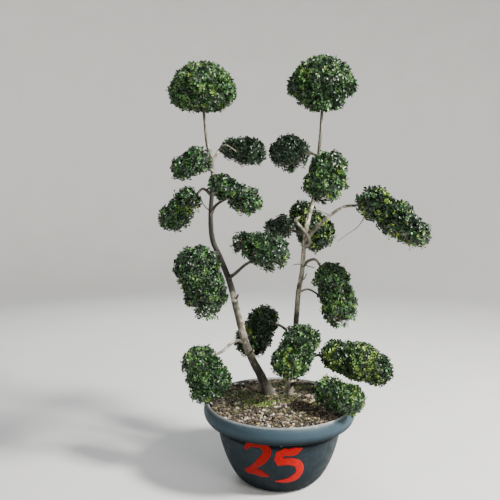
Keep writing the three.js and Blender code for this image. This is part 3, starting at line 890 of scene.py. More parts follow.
def earth_material(name, dark, light, scale, roughness, relief):
    """Crumbly or fibrous matter: soil, wood chips, stones, dead leaves."""
    material, tree, shader = new_material(name)
    place = object_place(tree)
    tone = mix(tree, patches(tree, place, scale, 0.5, 0.10), tinted(dark), tinted(light))
    grime = patches(tree, place, scale * 0.22, 0.35, 0.06)
    coat(tree, shader, washed(tree, tone, grime, 0.45, tinted(dark, 0.55)), roughness)
    add_bump(tree, shader, grain(tree, place, scale * 1.6, scale * 7, 0.4), relief, 0.8)
    return material


def bark_material(name, shade, painted_shadow_bands=()):
    """Smooth bark: pale skin with rosy and grey patches, worn bands and pores, drawn paler or darker for
    each limb as painted light and shade, with darker stretches of painted shadow.
    """
    pale = settings("bark").pale
    dark = settings("bark").dark
    material, tree, shader = new_material(name)
    along = own_place(tree, "grain")
    # The shade factor scales the bark's own colours: each limb's paleness is painted light and shade
    tone = mix(tree, patches(tree, along, 42.0, 0.5, 0.06), tinted(pale, shade * 0.50), tinted(pale, shade))
    rosy = patches(tree, along, 68.0, 0.36, 0.05, (1, 1, 0.45))
    tone = washed(tree, tone, rosy, 0.60, tinted((0.30, 0.225, 0.175), shade))
    worn = patches(tree, along, 30.0, 0.50, 0.04, (1, 1, 0.30))
    tone = washed(tree, tone, worn, 0.80, tinted(dark, shade * 1.25))
    flecks = patches(tree, along, 90.0, 0.46, 0.03, (1, 1, 0.6))
    tone = washed(tree, tone, flecks, 0.75, tinted(dark, shade * 1.6))
    pores = patches(tree, along, 190.0, 0.22, 0.04, (1, 1, 3.2))
    tone = washed(tree, tone, pores, 0.50, tinted(dark, shade))
    drift = ranged(tree, patches(tree, along, 18.0, 0.5, 0.1), 0, 1, -0.08, 0.08)
    uneven = calculate(tree, "ADD", height_of(tree, object_place(tree)), drift)
    # Painted shadow: dark stretches between the given heights, with uneven ends
    for low, high, depth in painted_shadow_bands:
        begun = ranged(tree, uneven, low - BAND_FADE, low + BAND_FADE)
        going_on = ranged(tree, uneven, high - BAND_FADE, high + BAND_FADE, depth, 0.0)
        tone = mix(tree, product(tree, begun, going_on), tone, tinted(dark, 0.65))
    coat(tree, shader, tone, ranged(tree, worn, 0, 1, 0.62, 0.86), 0.35)
    add_bump(tree, shader, grain(tree, along, 150.0, 700.0, 0.35), 0.9 * MM, 0.9)
    return material


def spotted_material(name, scale, softness, dark, light, roughness):
    """A smooth skin of two tones that run into each other."""
    material, tree, shader = new_material(name)
    spots = patches(tree, object_place(tree), scale, 0.5, softness)
    coat(tree, shader, mix(tree, spots, (*dark, 1), (*light, 1)), roughness)
    return material


def twig_material():
    """Thin shoots: green-brown and a little uneven."""
    return spotted_material("holly_twig", 60.0, 0.2, (0.085, 0.066, 0.040), (0.17, 0.145, 0.095), 0.7)


def leaf_material(tone):
    """Glossy leaf skin, a little uneven, with a paler and duller back."""
    material, tree, shader = new_material(f"holly_leaf_{tone.name}")
    spread = patches(tree, object_place(tree), 95.0, 0.5, 0.22)
    skin = mix(tree, spread, tinted(tone.colour, 0.74), tinted(tone.colour, 1.26))
    behind = add_node(tree, "NewGeometry").outputs["Backfacing"]
    dull = ranged(tree, behind, 0, 1, tone.roughness, 0.62)
    coat(tree, shader, mix(tree, behind, skin, tinted(tone.back)), dull)
    return material


def leaf_tones():
    """The four ages of leaf, the old one also drawn for painted shade: name, colours of face and back,
    and roughness.
    """
    colours = settings("foliage")
    return (
        Tone("old", colours.old, (0.024, 0.048, 0.022), 0.38),
        Tone("full", colours.full, (0.055, 0.115, 0.043), 0.36),
        Tone("fresh", colours.fresh, (0.090, 0.175, 0.055), 0.36),
        Tone("young", colours.young, (0.180, 0.280, 0.065), 0.40),
    )


# The wood's routes

def spline_span(before, start, end, after):
    """One span of a centripetal curve through four points."""
    first, middle, last = (
        math.sqrt(np.linalg.norm(b - a)) for a, b in ((before, start), (start, end), (end, after)))
    leave = (start - before) / first - (end - before) / (first + middle) + (end - start) / middle
    arrive = (end - start) / middle - (after - start) / (middle + last) + (after - end) / last
    leave, arrive = leave * middle, arrive * middle
    t = np.linspace(0, 1, SPAN_STEPS, endpoint=False)[:, None]
    return (
        start + leave * t + (3 * (end - start) - 2 * leave - arrive) * t ** 2
        + (2 * (start - end) + leave + arrive) * t ** 3)


def places_at(wanted, known, places):
    """Places read off at the wanted measures, from places at known ones."""
    return np.column_stack([np.interp(wanted, known, part) for part in places.T])


def even_line(route, step):
    """Points at even steps along a smooth curve through the route, and its length."""
    knots = np.asarray(route, float)
    padded = np.vstack([2 * knots[0] - knots[1], knots, 2 * knots[-1] - knots[-2]])
    spans = [spline_span(*padded[index:index + 4]) for index in range(len(knots) - 1)]
    fine = np.vstack([*spans, knots[-1]])
    travelled = np.concatenate([[0], np.cumsum(np.linalg.norm(np.diff(fine, axis=0), axis=1))])
    length = travelled[-1]
    wanted = np.linspace(0, length, max(4, round(length / step)) + 1)
    return places_at(wanted, travelled, fine), length


def trunk_limb(name):
    """A stem's line and radii, from a little under the soil to its tip, with taper and root flare."""
    route, foot, tip, _ = TRUNKS[name]
    knots = np.array(route) * MM
    start = knots[0] + unit(knots[0] - knots[1]) * BURIED
    line, length = even_line([start, *knots[1:]], LIMB_STEP)
    along = np.linspace(0, 1, len(line))
    above = np.maximum(0, along * length - BURIED)
    taper = (foot + (tip - foot) * along ** TRUNK_TAPER) * MM
    return Limb(line, taper * (1 + FLARE * np.exp(-above / FLARE_HEIGHT)))


def bough_limb(name):
    """A bough's line and radii, from the middle of its stem to where it enters its pad."""
    stem, height, bends, (pad, index), thick, thin = BOUGHS[name]
    line = LIMBS[stem].points
    start = places_at(height * MM, line[:, 2], line)[0]
    bends = np.array(bends) * MM
    lump = PADS[pad][index]
    back = bends[-1] - lump.centre
    entry = lump.centre + back * ENTRY / np.linalg.norm(back / lump.radii)
    line, _ = even_line([start, *bends, entry], LIMB_STEP)
    along = np.linspace(0, 1, len(line))
    taper = (thick + (thin - thick) * along) * MM
    return Limb(line, taper * (1 + COLLAR * np.exp(-along / COLLAR_SHARE)))


LIMBS = {name: trunk_limb(name) for name in TRUNKS}
LIMBS.update({name: bough_limb(name) for name in BOUGHS})


def bent_tube(name, line, radii, sides, relief, seed, flutes=0.0):
    """A limb: a straight tube of radius 1 gets its relief, and is then laid along its line and tapered."""
    mean = float(np.mean(radii))
    length = float(np.sum(np.linalg.norm(np.diff(line, axis=0), axis=1)))
    rings = len(line) - 1
    step = {"value": (0, 0, length / mean / rings)}
    tube = primitive(bpy.ops.mesh.primitive_circle_add, vertices=sides, radius=1.0, fill_type="NGON")
    with editing(tube):
        for _ in range(rings):
            bpy.ops.mesh.extrude_region_move(TRANSFORM_OT_translate=step)
        bpy.ops.mesh.extrude_region_move(TRANSFORM_OT_translate={"value": (0, 0, END_REACH)})
        bpy.ops.transform.resize(value=(END_WIDTH, END_WIDTH, 1))
        bpy.ops.mesh.select_all(action="SELECT")
        bpy.ops.mesh.normals_make_consistent(inside=False)
    shape = points_of(tube)
    carry(tube, "grain", shape * mean + np.array([0, 0, seed]))
    if flutes:
        turn = np.arctan2(shape[:, 1], shape[:, 0])
        swell = np.cos(3 * turn + seed) + 0.6 * np.cos(5 * turn + 2 * seed)
        shape[:, :2] *= (1 + flutes * swell * np.exp(-shape[:, 2] * mean / FLARE_HEIGHT))[:, None]
        move_points(tube, shape)
    displace(tube, f"{name}_lumps", LUMP_SIZE, relief)
    displace(tube, f"{name}_skin", SKIN_SIZE, relief * SKIN_SHARE)
    lay_along(tube, line, radii)
    return tube


def lay_along(tube, line, radii):
    """Bends a straight tube along a line, with the line's own radius at each step."""
    path = bpy.data.curves.new("path", "CURVE")
    path.dimensions = "3D"
    path.use_radius = True
    path.use_stretch = True
    path.use_deform_bounds = True
    spline = path.splines.new("POLY")
    spline.points.add(len(line) - 1)
    for knot, place, radius in zip(spline.points, line, radii):
        knot.co = (*place, 1)
        knot.radius = radius
    guide = placed("path", path)
    bend = tube.modifiers.new("along", "CURVE")
    bend.object = guide
    bend.deform_axis = "POS_Z"
    apply_modifiers(tube)
    bpy.data.objects.remove(guide)
    bpy.data.curves.remove(path)


# Foliage: the rule that grows the twigs and leaves of each pad

def even_directions(random, count, jitter):
    """Directions spread round a ball by the golden angle, each a little off its place."""
    index = np.arange(count) + 0.5
    up = 1 - 2 * index / count
    flat = np.sqrt(1 - up ** 2)
    angle = index * GOLDEN_ANGLE + random.uniform(0, FULL_TURN)
    even = np.column_stack([np.cos(angle) * flat, np.sin(angle) * flat, up])
    return unit(even + random.normal(0, jitter / math.sqrt(count), (count, 3)))


def surface_of(lump):
    """Surface of a lobe's outline, by the usual power rule for flattened balls."""
    power = 1.6
    a, b, c = lump.radii ** power
    return 4 * math.pi * ((a * b + a * c + b * c) / 3) ** (1 / power)


def outline_at(lump, directions):
    """How far a lobe's outline lies from its centre in each direction."""
    return 1 / np.linalg.norm(directions / lump.radii, axis=1)


def share_of(points, lump, margin=0.0):
    """How far out points lie, where a lobe's outline is 1."""
    return np.linalg.norm((points - lump.centre) / (lump.radii + margin), axis=-1)


def underside(points, pad):
    """How low a pad may reach under each point."""
    if pad not in ROUND_BELOW:
        return np.full(len(points), -np.inf)
    first = PADS[pad][0]
    sideways = np.linalg.norm((points - first.centre)[:, :2] / first.radii[:2], axis=1)
    return first.centre[2] - first.radii[2] * np.sqrt(1 - np.minimum(sideways, ROUND_OUT_TO) ** 2)


def beads_near(pad):
    """Points along the limbs that pass near a pad, and the limbs' radii there."""
    points = np.vstack([limb.points for limb in LIMBS.values()])
    radii = np.concatenate([limb.radii for limb in LIMBS.values()])
    near = np.zeros(len(points), bool)
    for lump in PADS[pad]:
        near |= share_of(points, lump, NEARBY) < 1
    return list(zip(points[near], radii[near]))


def clear_of_limbs(points, beads, extra=0.0):
    """Which points lie clear of the limbs."""
    clear = np.ones(points.shape[:-1], bool)
    for place, radius in beads:
        clear &= np.linalg.norm(points - place, axis=-1) > radius + LIMB_CLEARANCE + extra
    return clear


def clear_of_pot(points):
    """Which points lie outside the pot or over its lip."""
    outside = np.hypot(points[..., 0], points[..., 1]) > SKIRT_MIDDLE[0] + SKIRT_REACH + POT_CLEARANCE
    return outside | (points[..., 2] > POT_HEIGHT + POT_CLEARANCE)


def bend_between(random, starts, ends, share):
    """A point beside the middle of each twig that gives it its curve."""
    length = np.linalg.norm(ends - starts, axis=1, keepdims=True)
    return (starts + ends) / 2 + random.normal(0, share, starts.shape) * length


def pad_stems(random, pad):
    """The stems that go on from the limbs' tips into the lobes, and the waists between lobes."""
    lobes = PADS[pad]
    into = {name: data[3] for name, data in (*TRUNKS.items(), *BOUGHS.items())}
    carried = [(LIMBS[name], index) for name, (target, index) in into.items() if target == pad]
    starts = [limb.points[-2] for limb, _ in carried] + [lobes[0].centre] * (len(lobes) - 1)
    ends = [lobes[index].centre for _, index in carried] + [lump.centre for lump in lobes[1:]]
    thick = [limb.radii[-1] for limb, _ in carried] + [INNER_STEM] * (len(lobes) - 1)
    starts, ends, thick = np.array(starts), np.array(ends), np.array(thick)
    bends = bend_between(random, starts, ends, STEM_BEND)
    return Wood(starts, bends, ends, thick, thick * STEM_TAPER, sides=8, steps=8)


def lobe_twigs(random, pad, lump, beads):
    """A lobe's twigs, order by order: each grows from the nearest twig of the order before."""
    nodes = lump.centre[None]
    headings = np.array([[0.0, 0.0, 1.0]])
    surface = surface_of(lump)
    wood = []
    for order in ORDERS:
        count = max(order.fewest, round(surface / order.area))
        directions = even_directions(random, count, TWIG_JITTER)
        ends = lump.centre + directions * (outline_at(lump, directions) * order.share)[:, None]
        starts = nodes[np.argmax(directions @ headings.T, axis=1)]
        bends = bend_between(random, starts, ends, TWIG_BEND)
        kept = clear_of_limbs(np.stack([ends, bends], axis=1), beads, order.thin).all(axis=1)
        kept &= ends[:, 2] > underside(ends, pad) + TWIG_DEPTH
        nodes, headings = ends[kept], directions[kept]
        thick = np.full(len(nodes), order.thick)
        thin = np.full(len(nodes), order.thin)
        wood.append(Wood(starts[kept], bends[kept], nodes, thick, thin, order.sides, order.steps))
    return wood, nodes, headings


def lobe_shoots(random, pad, lump, nodes, headings, beads):
    """Shoots from the last twigs to the clipped outline, and the way each one points."""
    count = round(surface_of(lump) / settings("foliage").shoot_area)
    directions = even_directions(random, count, SHOOT_JITTER)
    distance = outline_at(lump, directions)
    outline = lump.centre + directions * distance[:, None]
    hollows = BROAD_HOLLOWS * patchiness(outline, HOLLOW_WAVES) + TUFTS * patchiness(outline, TUFT_WAVES)
    down = np.zeros(count) if pad in FULL_BELOW else np.clip(-directions[:, 2], 0, 1)
    lift = LIFTED_UNDERSIDE * distance * 2 * down * np.sqrt(1 - down ** 2)
    reach = hollows - lift - FULLER.get(pad, SET_BACK) + random.normal(0, UNEVEN, count)
    gathered = 1 + LOOSE_GATHERING * patchiness(outline, LOOSE_WAVES)
    loose = random.random(count) < LOOSE_SHOOTS * gathered
    reach[loose] = random.normal(-LOOSE_SET_BACK, LOOSE_UNEVEN, loose.sum())
    others = [other for other in PADS[pad] if other is not lump]
    for other in others:
        reach += CREASE_FILL * np.clip(1 - (share_of(outline, other) - 1) / CREASE_WIDTH, 0, 1)
    over = reach > TIP_MARGIN
    reach[over] = random.uniform(*SHORTENED, over.sum())
    tips = outline + directions * reach[:, None]
    tips[:, 2] = np.maximum(tips[:, 2], underside(tips, pad) - reach)
    kept = clear_of_limbs(tips, beads, SHOOT_THIN) & clear_of_pot(tips)
    kept &= random.random(count) > BARE_UNDERSIDE * np.clip(down - BARE_SLOPE, 0, 1)
    for other in others:
        kept &= share_of(outline, other) > NEXT_LOBE
    tips, directions = tips[kept], directions[kept]
    starts = nodes[np.argmax(directions @ headings.T, axis=1)]
    length = np.linalg.norm(tips - starts, axis=1, keepdims=True)
    lean = unit(tips - starts) + SHOOT_LEAN * unit(starts - lump.centre)
    bends = starts + lean * length * BEND_PLACE + random.normal(0, BEND_UNEVEN, starts.shape)
    thick = np.full(len(tips), SHOOT_THICK)
    thin = np.full(len(tips), SHOOT_THIN)
    pointing = unit(unit(tips - bends) + random.normal(0, POINT_UNEVEN, tips.shape))
    return Wood(starts, bends, tips, thick, thin, sides=3, steps=1), pointing


def tubes(wood):
    """Tapering closed tubes for all the twigs of one order."""
    count, sides, steps = len(wood.starts), wood.sides, wood.steps
    t = np.linspace(0, 1, steps + 1)[None, :, None]
    starts, bends, ends = (places[:, None, :] for places in (wood.starts, wood.bends, wood.ends))
    middles = starts * (1 - t) ** 2 + bends * 2 * t * (1 - t) + ends * t ** 2
    heading = unit((bends - starts) * (1 - t) + (ends - bends) * t)
    steep = np.abs(heading[..., 2:]) > 0.8
    first = unit(np.cross(heading, np.where(steep, np.array([1.0, 0, 0]), np.array([0, 0, 1.0]))))
    second = np.cross(heading, first)
    radii = wood.thick[:, None, None] * (1 - t) + wood.thin[:, None, None] * t
    turns = (np.arange(sides) * FULL_TURN / sides)[:, None]
    round_it = np.cos(turns) * first[:, :, None] + np.sin(turns) * second[:, :, None]
    points = (middles[:, :, None] + radii[:, :, None] * round_it).reshape(-1, 3)
    ring = np.arange(sides)
    after = (ring + 1) % sides
    lower = np.arange(steps)[:, None] * sides
    upper = lower + sides
    walls = np.concatenate([
        np.stack([lower + ring, lower + after, upper + ring], axis=-1),
        np.stack([lower + after, upper + after, upper + ring], axis=-1)]).reshape(-1, 3)
    fan = np.arange(1, sides - 1)
    last = steps * sides
    foot_cap = np.column_stack([np.zeros_like(fan), fan + 1, fan])
    tip_cap = np.column_stack([np.full_like(fan, last), last + fan, last + fan + 1])
    return points, copies_of(np.vstack([walls, foot_cap, tip_cap]), (steps + 1) * sides, count)


def leaf_frames(random, tips, headings, leaf_count, leaf):
    """Where the leaves of each shoot sit and point: a spiral round its outer part, flatter further in."""
    shoots = len(tips)
    step = np.arange(leaf_count)
    inwards = step / leaf_count
    side = unit(np.cross(headings, unit(random.normal(0, 1, (shoots, 3)))))
    other = np.cross(headings, side)
    turn = (step * GOLDEN_ANGLE + random.normal(0, 0.25, (shoots, leaf_count)))[..., None]
    out = np.cos(turn) * side[:, None] + np.sin(turn) * other[:, None]
    lean = np.radians(TIP_LEAN + MORE_LEAN * inwards) + random.normal(0, 0.16, (shoots, leaf_count))
    lean = lean[..., None]
    axis = headings[:, None]
    direction = axis * np.cos(lean) + out * np.sin(lean)
    face = axis * np.sin(lean) - out * np.cos(lean)
    face = face + np.array([0, 0, FACE_UP]) + random.normal(0, 0.38, face.shape)
    across = unit(np.cross(face, direction))
    face = np.cross(direction, across)
    depth = leaf * LEAFY_STRETCH * inwards ** CROWDING
    base = tips[:, None] - axis * depth[None, :, None] + out * LEAF_START * MM
    grown = TIP_LEAF + (1 - TIP_LEAF) * np.minimum(1, inwards * LEAF_GROWTH)
    size = leaf * grown * random.normal(1, 0.11, (shoots, leaf_count))
    return base, direction, across, face, size


def leaf_points(base, direction, across, face, length, width):
    """All the points of many leaves, from each one's place, axes and size."""
    along, beside, above = LEAF_FORM.T
    return (
        base[..., None, :]
        + direction[..., None, :] * (along * length[..., None])[..., None]
        + across[..., None, :] * (beside * width[..., None])[..., None]
        + face[..., None, :] * (above * length[..., None])[..., None])


def leaf_mesh(points):
    """Points and faces for leaves: a fan round each leaf's middle."""
    middle = len(LEAF_FORM) - 1
    corner = np.arange(middle)
    fan = np.column_stack([np.full(middle, middle), corner, (corner + 1) % middle])
    return points.reshape(-1, 3), copies_of(fan, len(LEAF_FORM), len(points))


def urge_at(urge, sun, tips):
    """How strongly each shoot is urged to fresh or young leaves, from 0 to 1."""
    return np.clip(urge.start + urge.sun * sun + urge.patches * patchiness(tips, urge.waves), 0, 1)


def deal_tones(random, ages, tips, headings):
    """An age of leaf for each shoot: old and dark in the shade, as painted shade, and young on the sunny
    side in patches.
    """
    count = len(tips)
    young, old = ages
    sun = headings @ SUNNY_SIDE
    lot = random.random(count)
    tones = np.full(count, FULL)
    tones[lot < old + SHADE_OLD * (sun < 0)] = OLD_AND_SHADED
    tones[lot > FRESH_FROM + old - FRESH_BY_SUN * urge_at(FRESH_URGE, sun, tips)] = FRESH
    tones[random.random(count) < young * urge_at(YOUNG_URGE, sun, tips)] = YOUNG
    return tones


def grow_pad(pad):
    """One pad's wood, and its leaves sorted by age."""
    random = numbers_for(pad)
    values = settings("foliage")
    beads = beads_near(pad)
    wood = [pad_stems(random, pad)]
    leaves = [[], [], [], []]
    for index, lump in enumerate(PADS[pad]):
        twigs, nodes, headings = lobe_twigs(random, pad, lump, beads)
        shoots, lean = lobe_shoots(random, pad, lump, nodes, headings, beads)
        wood += [*twigs, shoots]
        *axes, length = leaf_frames(random, shoots.ends, lean, values.leaves, values.leaf_length)
        points = leaf_points(*axes, length, length * values.leaf_width / values.leaf_length)
        inside = np.zeros(points.shape[:-1], bool)
        for other in PADS[pad]:
            inside |= share_of(points, other, SPACE_MARGIN) < 1
        kept = (inside & clear_of_limbs(points, beads) & clear_of_pot(points)).all(axis=-1)
        ages = SHADED_AGES if index == SHADED_LOBES.get(pad) else AGES[pad]
        tones = np.repeat(deal_tones(random, ages, shoots.ends, lean)[:, None], values.leaves, axis=1)
        # Leaves further in on each shoot are drawn old and dark: partly their age, partly painted shade
        tones[:, round(values.leaves * OUTER_LEAVES):] = OLD_AND_SHADED
        for tone, batch in enumerate(leaves):
            batch.append(points[kept & (tones == tone)])
    return [tubes(order) for order in wood], [np.concatenate(batch) for batch in leaves]


# The pot

def bowl_side(inset, bottom, steps):
    """The bowl's wall from foot to shoulder: a smooth curve that leaves the foot flat and rises steep."""
    foot = np.array([FOOT_RADIUS - inset, bottom])
    shoulder = np.array([SHOULDER_RADIUS - inset, SHOULDER_HEIGHT])
    t = np.linspace(0, 1, steps + 1)[:, None]
    return (
        foot * (1 - t) ** 3 + (foot + FOOT_PULL) * 3 * t * (1 - t) ** 2
        + (shoulder - SHOULDER_PULL) * 3 * t ** 2 * (1 - t) + shoulder * t ** 3)


def skirt_face(inset, steps):
    """The rolled rim's section, from its hanging edge up to the lip."""
    angles = np.linspace(*SKIRT_ANGLES, steps + 1)
    return np.column_stack([
        SKIRT_MIDDLE[0] + (SKIRT_REACH - inset) * np.cos(angles),
        SKIRT_MIDDLE[1] + (SKIRT_DROP - inset) * np.sin(angles)])


def pot_outline():
    """The pot's section: bowl, inner and outer face of the skirt, rounded lip and inside."""
    values = settings("pot")
    outer = skirt_face(0, 20)
    under = skirt_face(values.skirt, 14)[::-1]
    edge = (under[-1] + outer[0]) / 2 - np.array([0, values.skirt * 0.35])
    lip = np.array([
        [LIP_RADIUS, POT_HEIGHT], [LIP_RADIUS - values.wall * 0.5, POT_HEIGHT - 0.2 * MM],
        [LIP_RADIUS - values.wall, POT_HEIGHT - LIP_FALL]])
    return np.vstack([
        [[0, 0]], bowl_side(0, 0, 28), under, edge, outer, lip,
        bowl_side(values.wall, FLOOR, 24)[::-1], [[0, FLOOR]]])


def turned(outline, steps):
    """A closed form spun from an outline of (radius, height) points that starts and ends on the axis."""
    piece = primitive(bpy.ops.mesh.primitive_plane_add, size=MM)
    with editing(piece):
        bpy.ops.mesh.merge(type="CENTER")
        bpy.ops.transform.translate(value=(outline[0][0], 0, outline[0][1]))
        for step in np.diff(outline, axis=0):
            bpy.ops.mesh.extrude_vertices_move(TRANSFORM_OT_translate={"value": (step[0], 0, step[1])})
        bpy.ops.mesh.select_all(action="SELECT")
        bpy.ops.mesh.spin(steps=steps, angle=FULL_TURN, center=(0, 0, 0), axis=(0, 0, 1))
        bpy.ops.mesh.select_all(action="SELECT")
        bpy.ops.mesh.remove_doubles(threshold=0.02 * MM)
        bpy.ops.mesh.normals_make_consistent(inside=False)
    return piece


def wall_radius(height):
    """The bowl's outer radius at a height."""
    side = bowl_side(0, 0, 60)
    return np.interp(height, side[:, 1], side[:, 0])


def moulding_mark():
    """The small nub that the mould left on the skirt's edge."""
    edge = skirt_face(0, 20)[0]
    place = (-6 * MM, -edge[0] - 8 * MM, edge[1] + 2.5 * MM)
    nub = primitive(bpy.ops.mesh.primitive_cube_add, size=1, location=place)
    nub.scale = (9 * MM, 3.4 * MM, 7 * MM)
    bpy.ops.object.transform_apply(location=False, rotation=False, scale=True)
    with editing(nub):
        bpy.ops.mesh.bevel(offset=1.4 * MM, segments=3)
    return nub


def brush_stroke(points, middle, width, seed):
    """One brush stroke laid on the bowl: a strip with tapering, uneven edges."""
    line, length = even_line([(x * MM, 0, z * MM) for x, z in points], 2.5 * MM)
    line = line[:, [0, 2]]
    steps = len(line) - 1
    strip = primitive(bpy.ops.mesh.primitive_grid_add, x_subdivisions=steps, y_subdivisions=8, size=2)
    flat = points_of(strip)
    share, across = (flat[:, 0] + 1) / 2, flat[:, 1]
    knots = np.linspace(0, 1, steps + 1)
    places = places_at(share, knots, line)
    heading = unit(places_at(share, knots, np.gradient(line, axis=0)))
    start, end = (
        np.minimum(1, least + place * rise)
        for place, (least, rise) in ((share, STROKE_START), (1 - share, STROKE_END)))
    own = np.full(len(flat), seed)
    wander = np.column_stack([share * length * 60, across * 0.4, own])
    reach = across * width / 2 * (start * end) * (1 + STROKE_UNEVEN * patchiness(wander, 1))
    surface = places + np.column_stack([-heading[:, 1], heading[:, 0]]) * reach[:, None]
    surface += np.array(middle) * MM
    carry(strip, "stroke", np.column_stack([share * length * 20, across, own]))
    radius = wall_radius(surface[:, 1]) + PAINT_GAP
    turn = surface[:, 0] / radius
    move_points(strip, np.column_stack([radius * np.sin(turn), -radius * np.cos(turn), surface[:, 1]]))
    return strip


# What lies on the soil

def soil_height(radius):
    """The soil's top without its mounds: flat in the middle and lower at the edge."""
    return np.interp(radius, [SOIL_FLAT_RADIUS, SOIL_EDGE_RADIUS], [SOIL_TOP, SOIL_EDGE_HEIGHT])


FEET = [np.array(route[0]) * MM for route, *_ in TRUNKS.values()]


def from_stems(x, y):
    """How far places lie from the nearer stem's foot."""
    return np.min([np.hypot(x - foot[0], y - foot[1]) for foot in FEET], axis=0)


def mound_height(x, y):
    """The soil's mounds, which die out towards the lip and are level round each stem's foot."""
    waves = [np.sin(place * FULL_TURN / MOUND_WAVE + start) for place, start in zip((x, y), MOUND_START)]
    edge = (SOIL_EDGE_RADIUS - np.hypot(x, y)) / MOUND_EDGE_FADE
    level = (from_stems(x, y) - LEVEL_RADIUS) / LEVEL_FADE
    return MOUND_HEIGHT * waves[0] * waves[1] * np.clip(np.minimum(edge, level), 0, 1)


def scattered(random, count, reach, low, high):
    """Even random places a little over the soil, clear of the stems."""
    radius = reach * np.sqrt(random.random(count))
    turn = random.uniform(0, FULL_TURN, count)
    x, y = radius * np.cos(turn), radius * np.sin(turn)
    height = soil_height(radius) + mound_height(x, y) + random.uniform(low, high, count) * MM
    return np.column_stack([x, y, height])[from_stems(x, y) > STEM_CLEARANCE]


def tumbled(random, count, tilt):
    """Turning matrices: any heading, tilted a little out of the level."""
    turn = random.uniform(0, FULL_TURN, count)
    ahead = unit(np.column_stack([np.cos(turn), np.sin(turn), random.normal(0, tilt, count)]))
    up = np.column_stack([random.normal(0, tilt, (count, 2)), np.ones(count)])
    across = unit(np.cross(up, ahead))
    return np.stack([ahead, across, np.cross(ahead, across)], axis=1)


def strewn(random, form, faces, sizes, places, tilt):
    """Many copies of one small form, each with its own size, place and turn."""
    count = len(places)
    points = np.einsum("nci,nij->ncj", form * sizes[:, None], tumbled(random, count, tilt))
    return (points + places[:, None]).reshape(-1, 3), copies_of(faces, form.shape[-2], count)


def chips(random, places, length, flatness, tilt):
    """Splintered chips: boxes with every corner out of true, lying any way round."""
    count = len(places)
    size = length * np.minimum(random.lognormal(0, 0.38, count), 1.8)
    sizes = np.column_stack([
        size, size * random.uniform(0.35, 0.75, count), size * flatness * random.uniform(0.6, 1.4, count)])
    corners = BOX_CORNERS[None] * random.uniform(0.62, 1.15, (count, 8, 3))
    return strewn(random, corners, BOX_FACES, sizes, places, tilt)


def stones(random, places, size):
    """Small rounded stones: one lumpy ball copied about."""
    ball = primitive(bpy.ops.mesh.primitive_ico_sphere_add, subdivisions=2, radius=0.5)
    displace(ball, "stone_lumps", 0.6, 0.25)
    form = points_of(ball)
    faces = np.array([face.vertices[:] for face in ball.data.polygons])
    bpy.data.objects.remove(ball)
    count = len(places)
    width = size * random.lognormal(0, 0.35, count)
    sizes = np.column_stack([
        width, width * random.uniform(0.6, 1, count), width * random.uniform(0.4, 0.7, count)])
    return strewn(random, form[None], faces, sizes, places, 0.3)


def lying_leaves(random, places, length, width, tilt):
    """Leaves scattered flat, as litter or as low weeds."""
    axes = tumbled(random, len(places), tilt)
    size = length * random.normal(1, 0.18, len(places))
    return leaf_mesh(leaf_points(
        places, axes[:, 0], axes[:, 1], axes[:, 2], size, size * width / length))


class TOPIARY_OT_build_pot(Operator):
    """Turn the pot from its outline and give it its moulding mark"""

    bl_idname = "topiary.build_pot"
    bl_label = "Build Pot"

    def execute(self, context):
        pot = join([turned(pot_outline(), 160), moulding_mark()])
        finish_piece(pot, "pot_shell", plastic_material(), ["pot"])
        bpy.ops.object.shade_smooth_by_angle(angle=math.radians(32))
        return {"FINISHED"}


class TOPIARY_OT_paint_digits(Operator):
    """Brush two plain digits on the front of the pot"""

    bl_idname = "topiary.paint_digits"
    bl_label = "Paint Digits"

    def execute(self, context):
        width = settings("pot").stroke
        for digit, (strength, middle, strokes) in DIGITS.items():
            piece = join([brush_stroke(line, middle, width, seed) for seed, line in enumerate(strokes)])
            film = piece.modifiers.new("paint_film", "SOLIDIFY")
            film.thickness = PAINT_THICK
            film.offset = 1.0
            apply_modifiers(piece)
            red = paint_material(f"red_paint_{digit}", strength)
            finish_piece(piece, f"painted_{digit}", red, smooth=True)
        return {"FINISHED"}


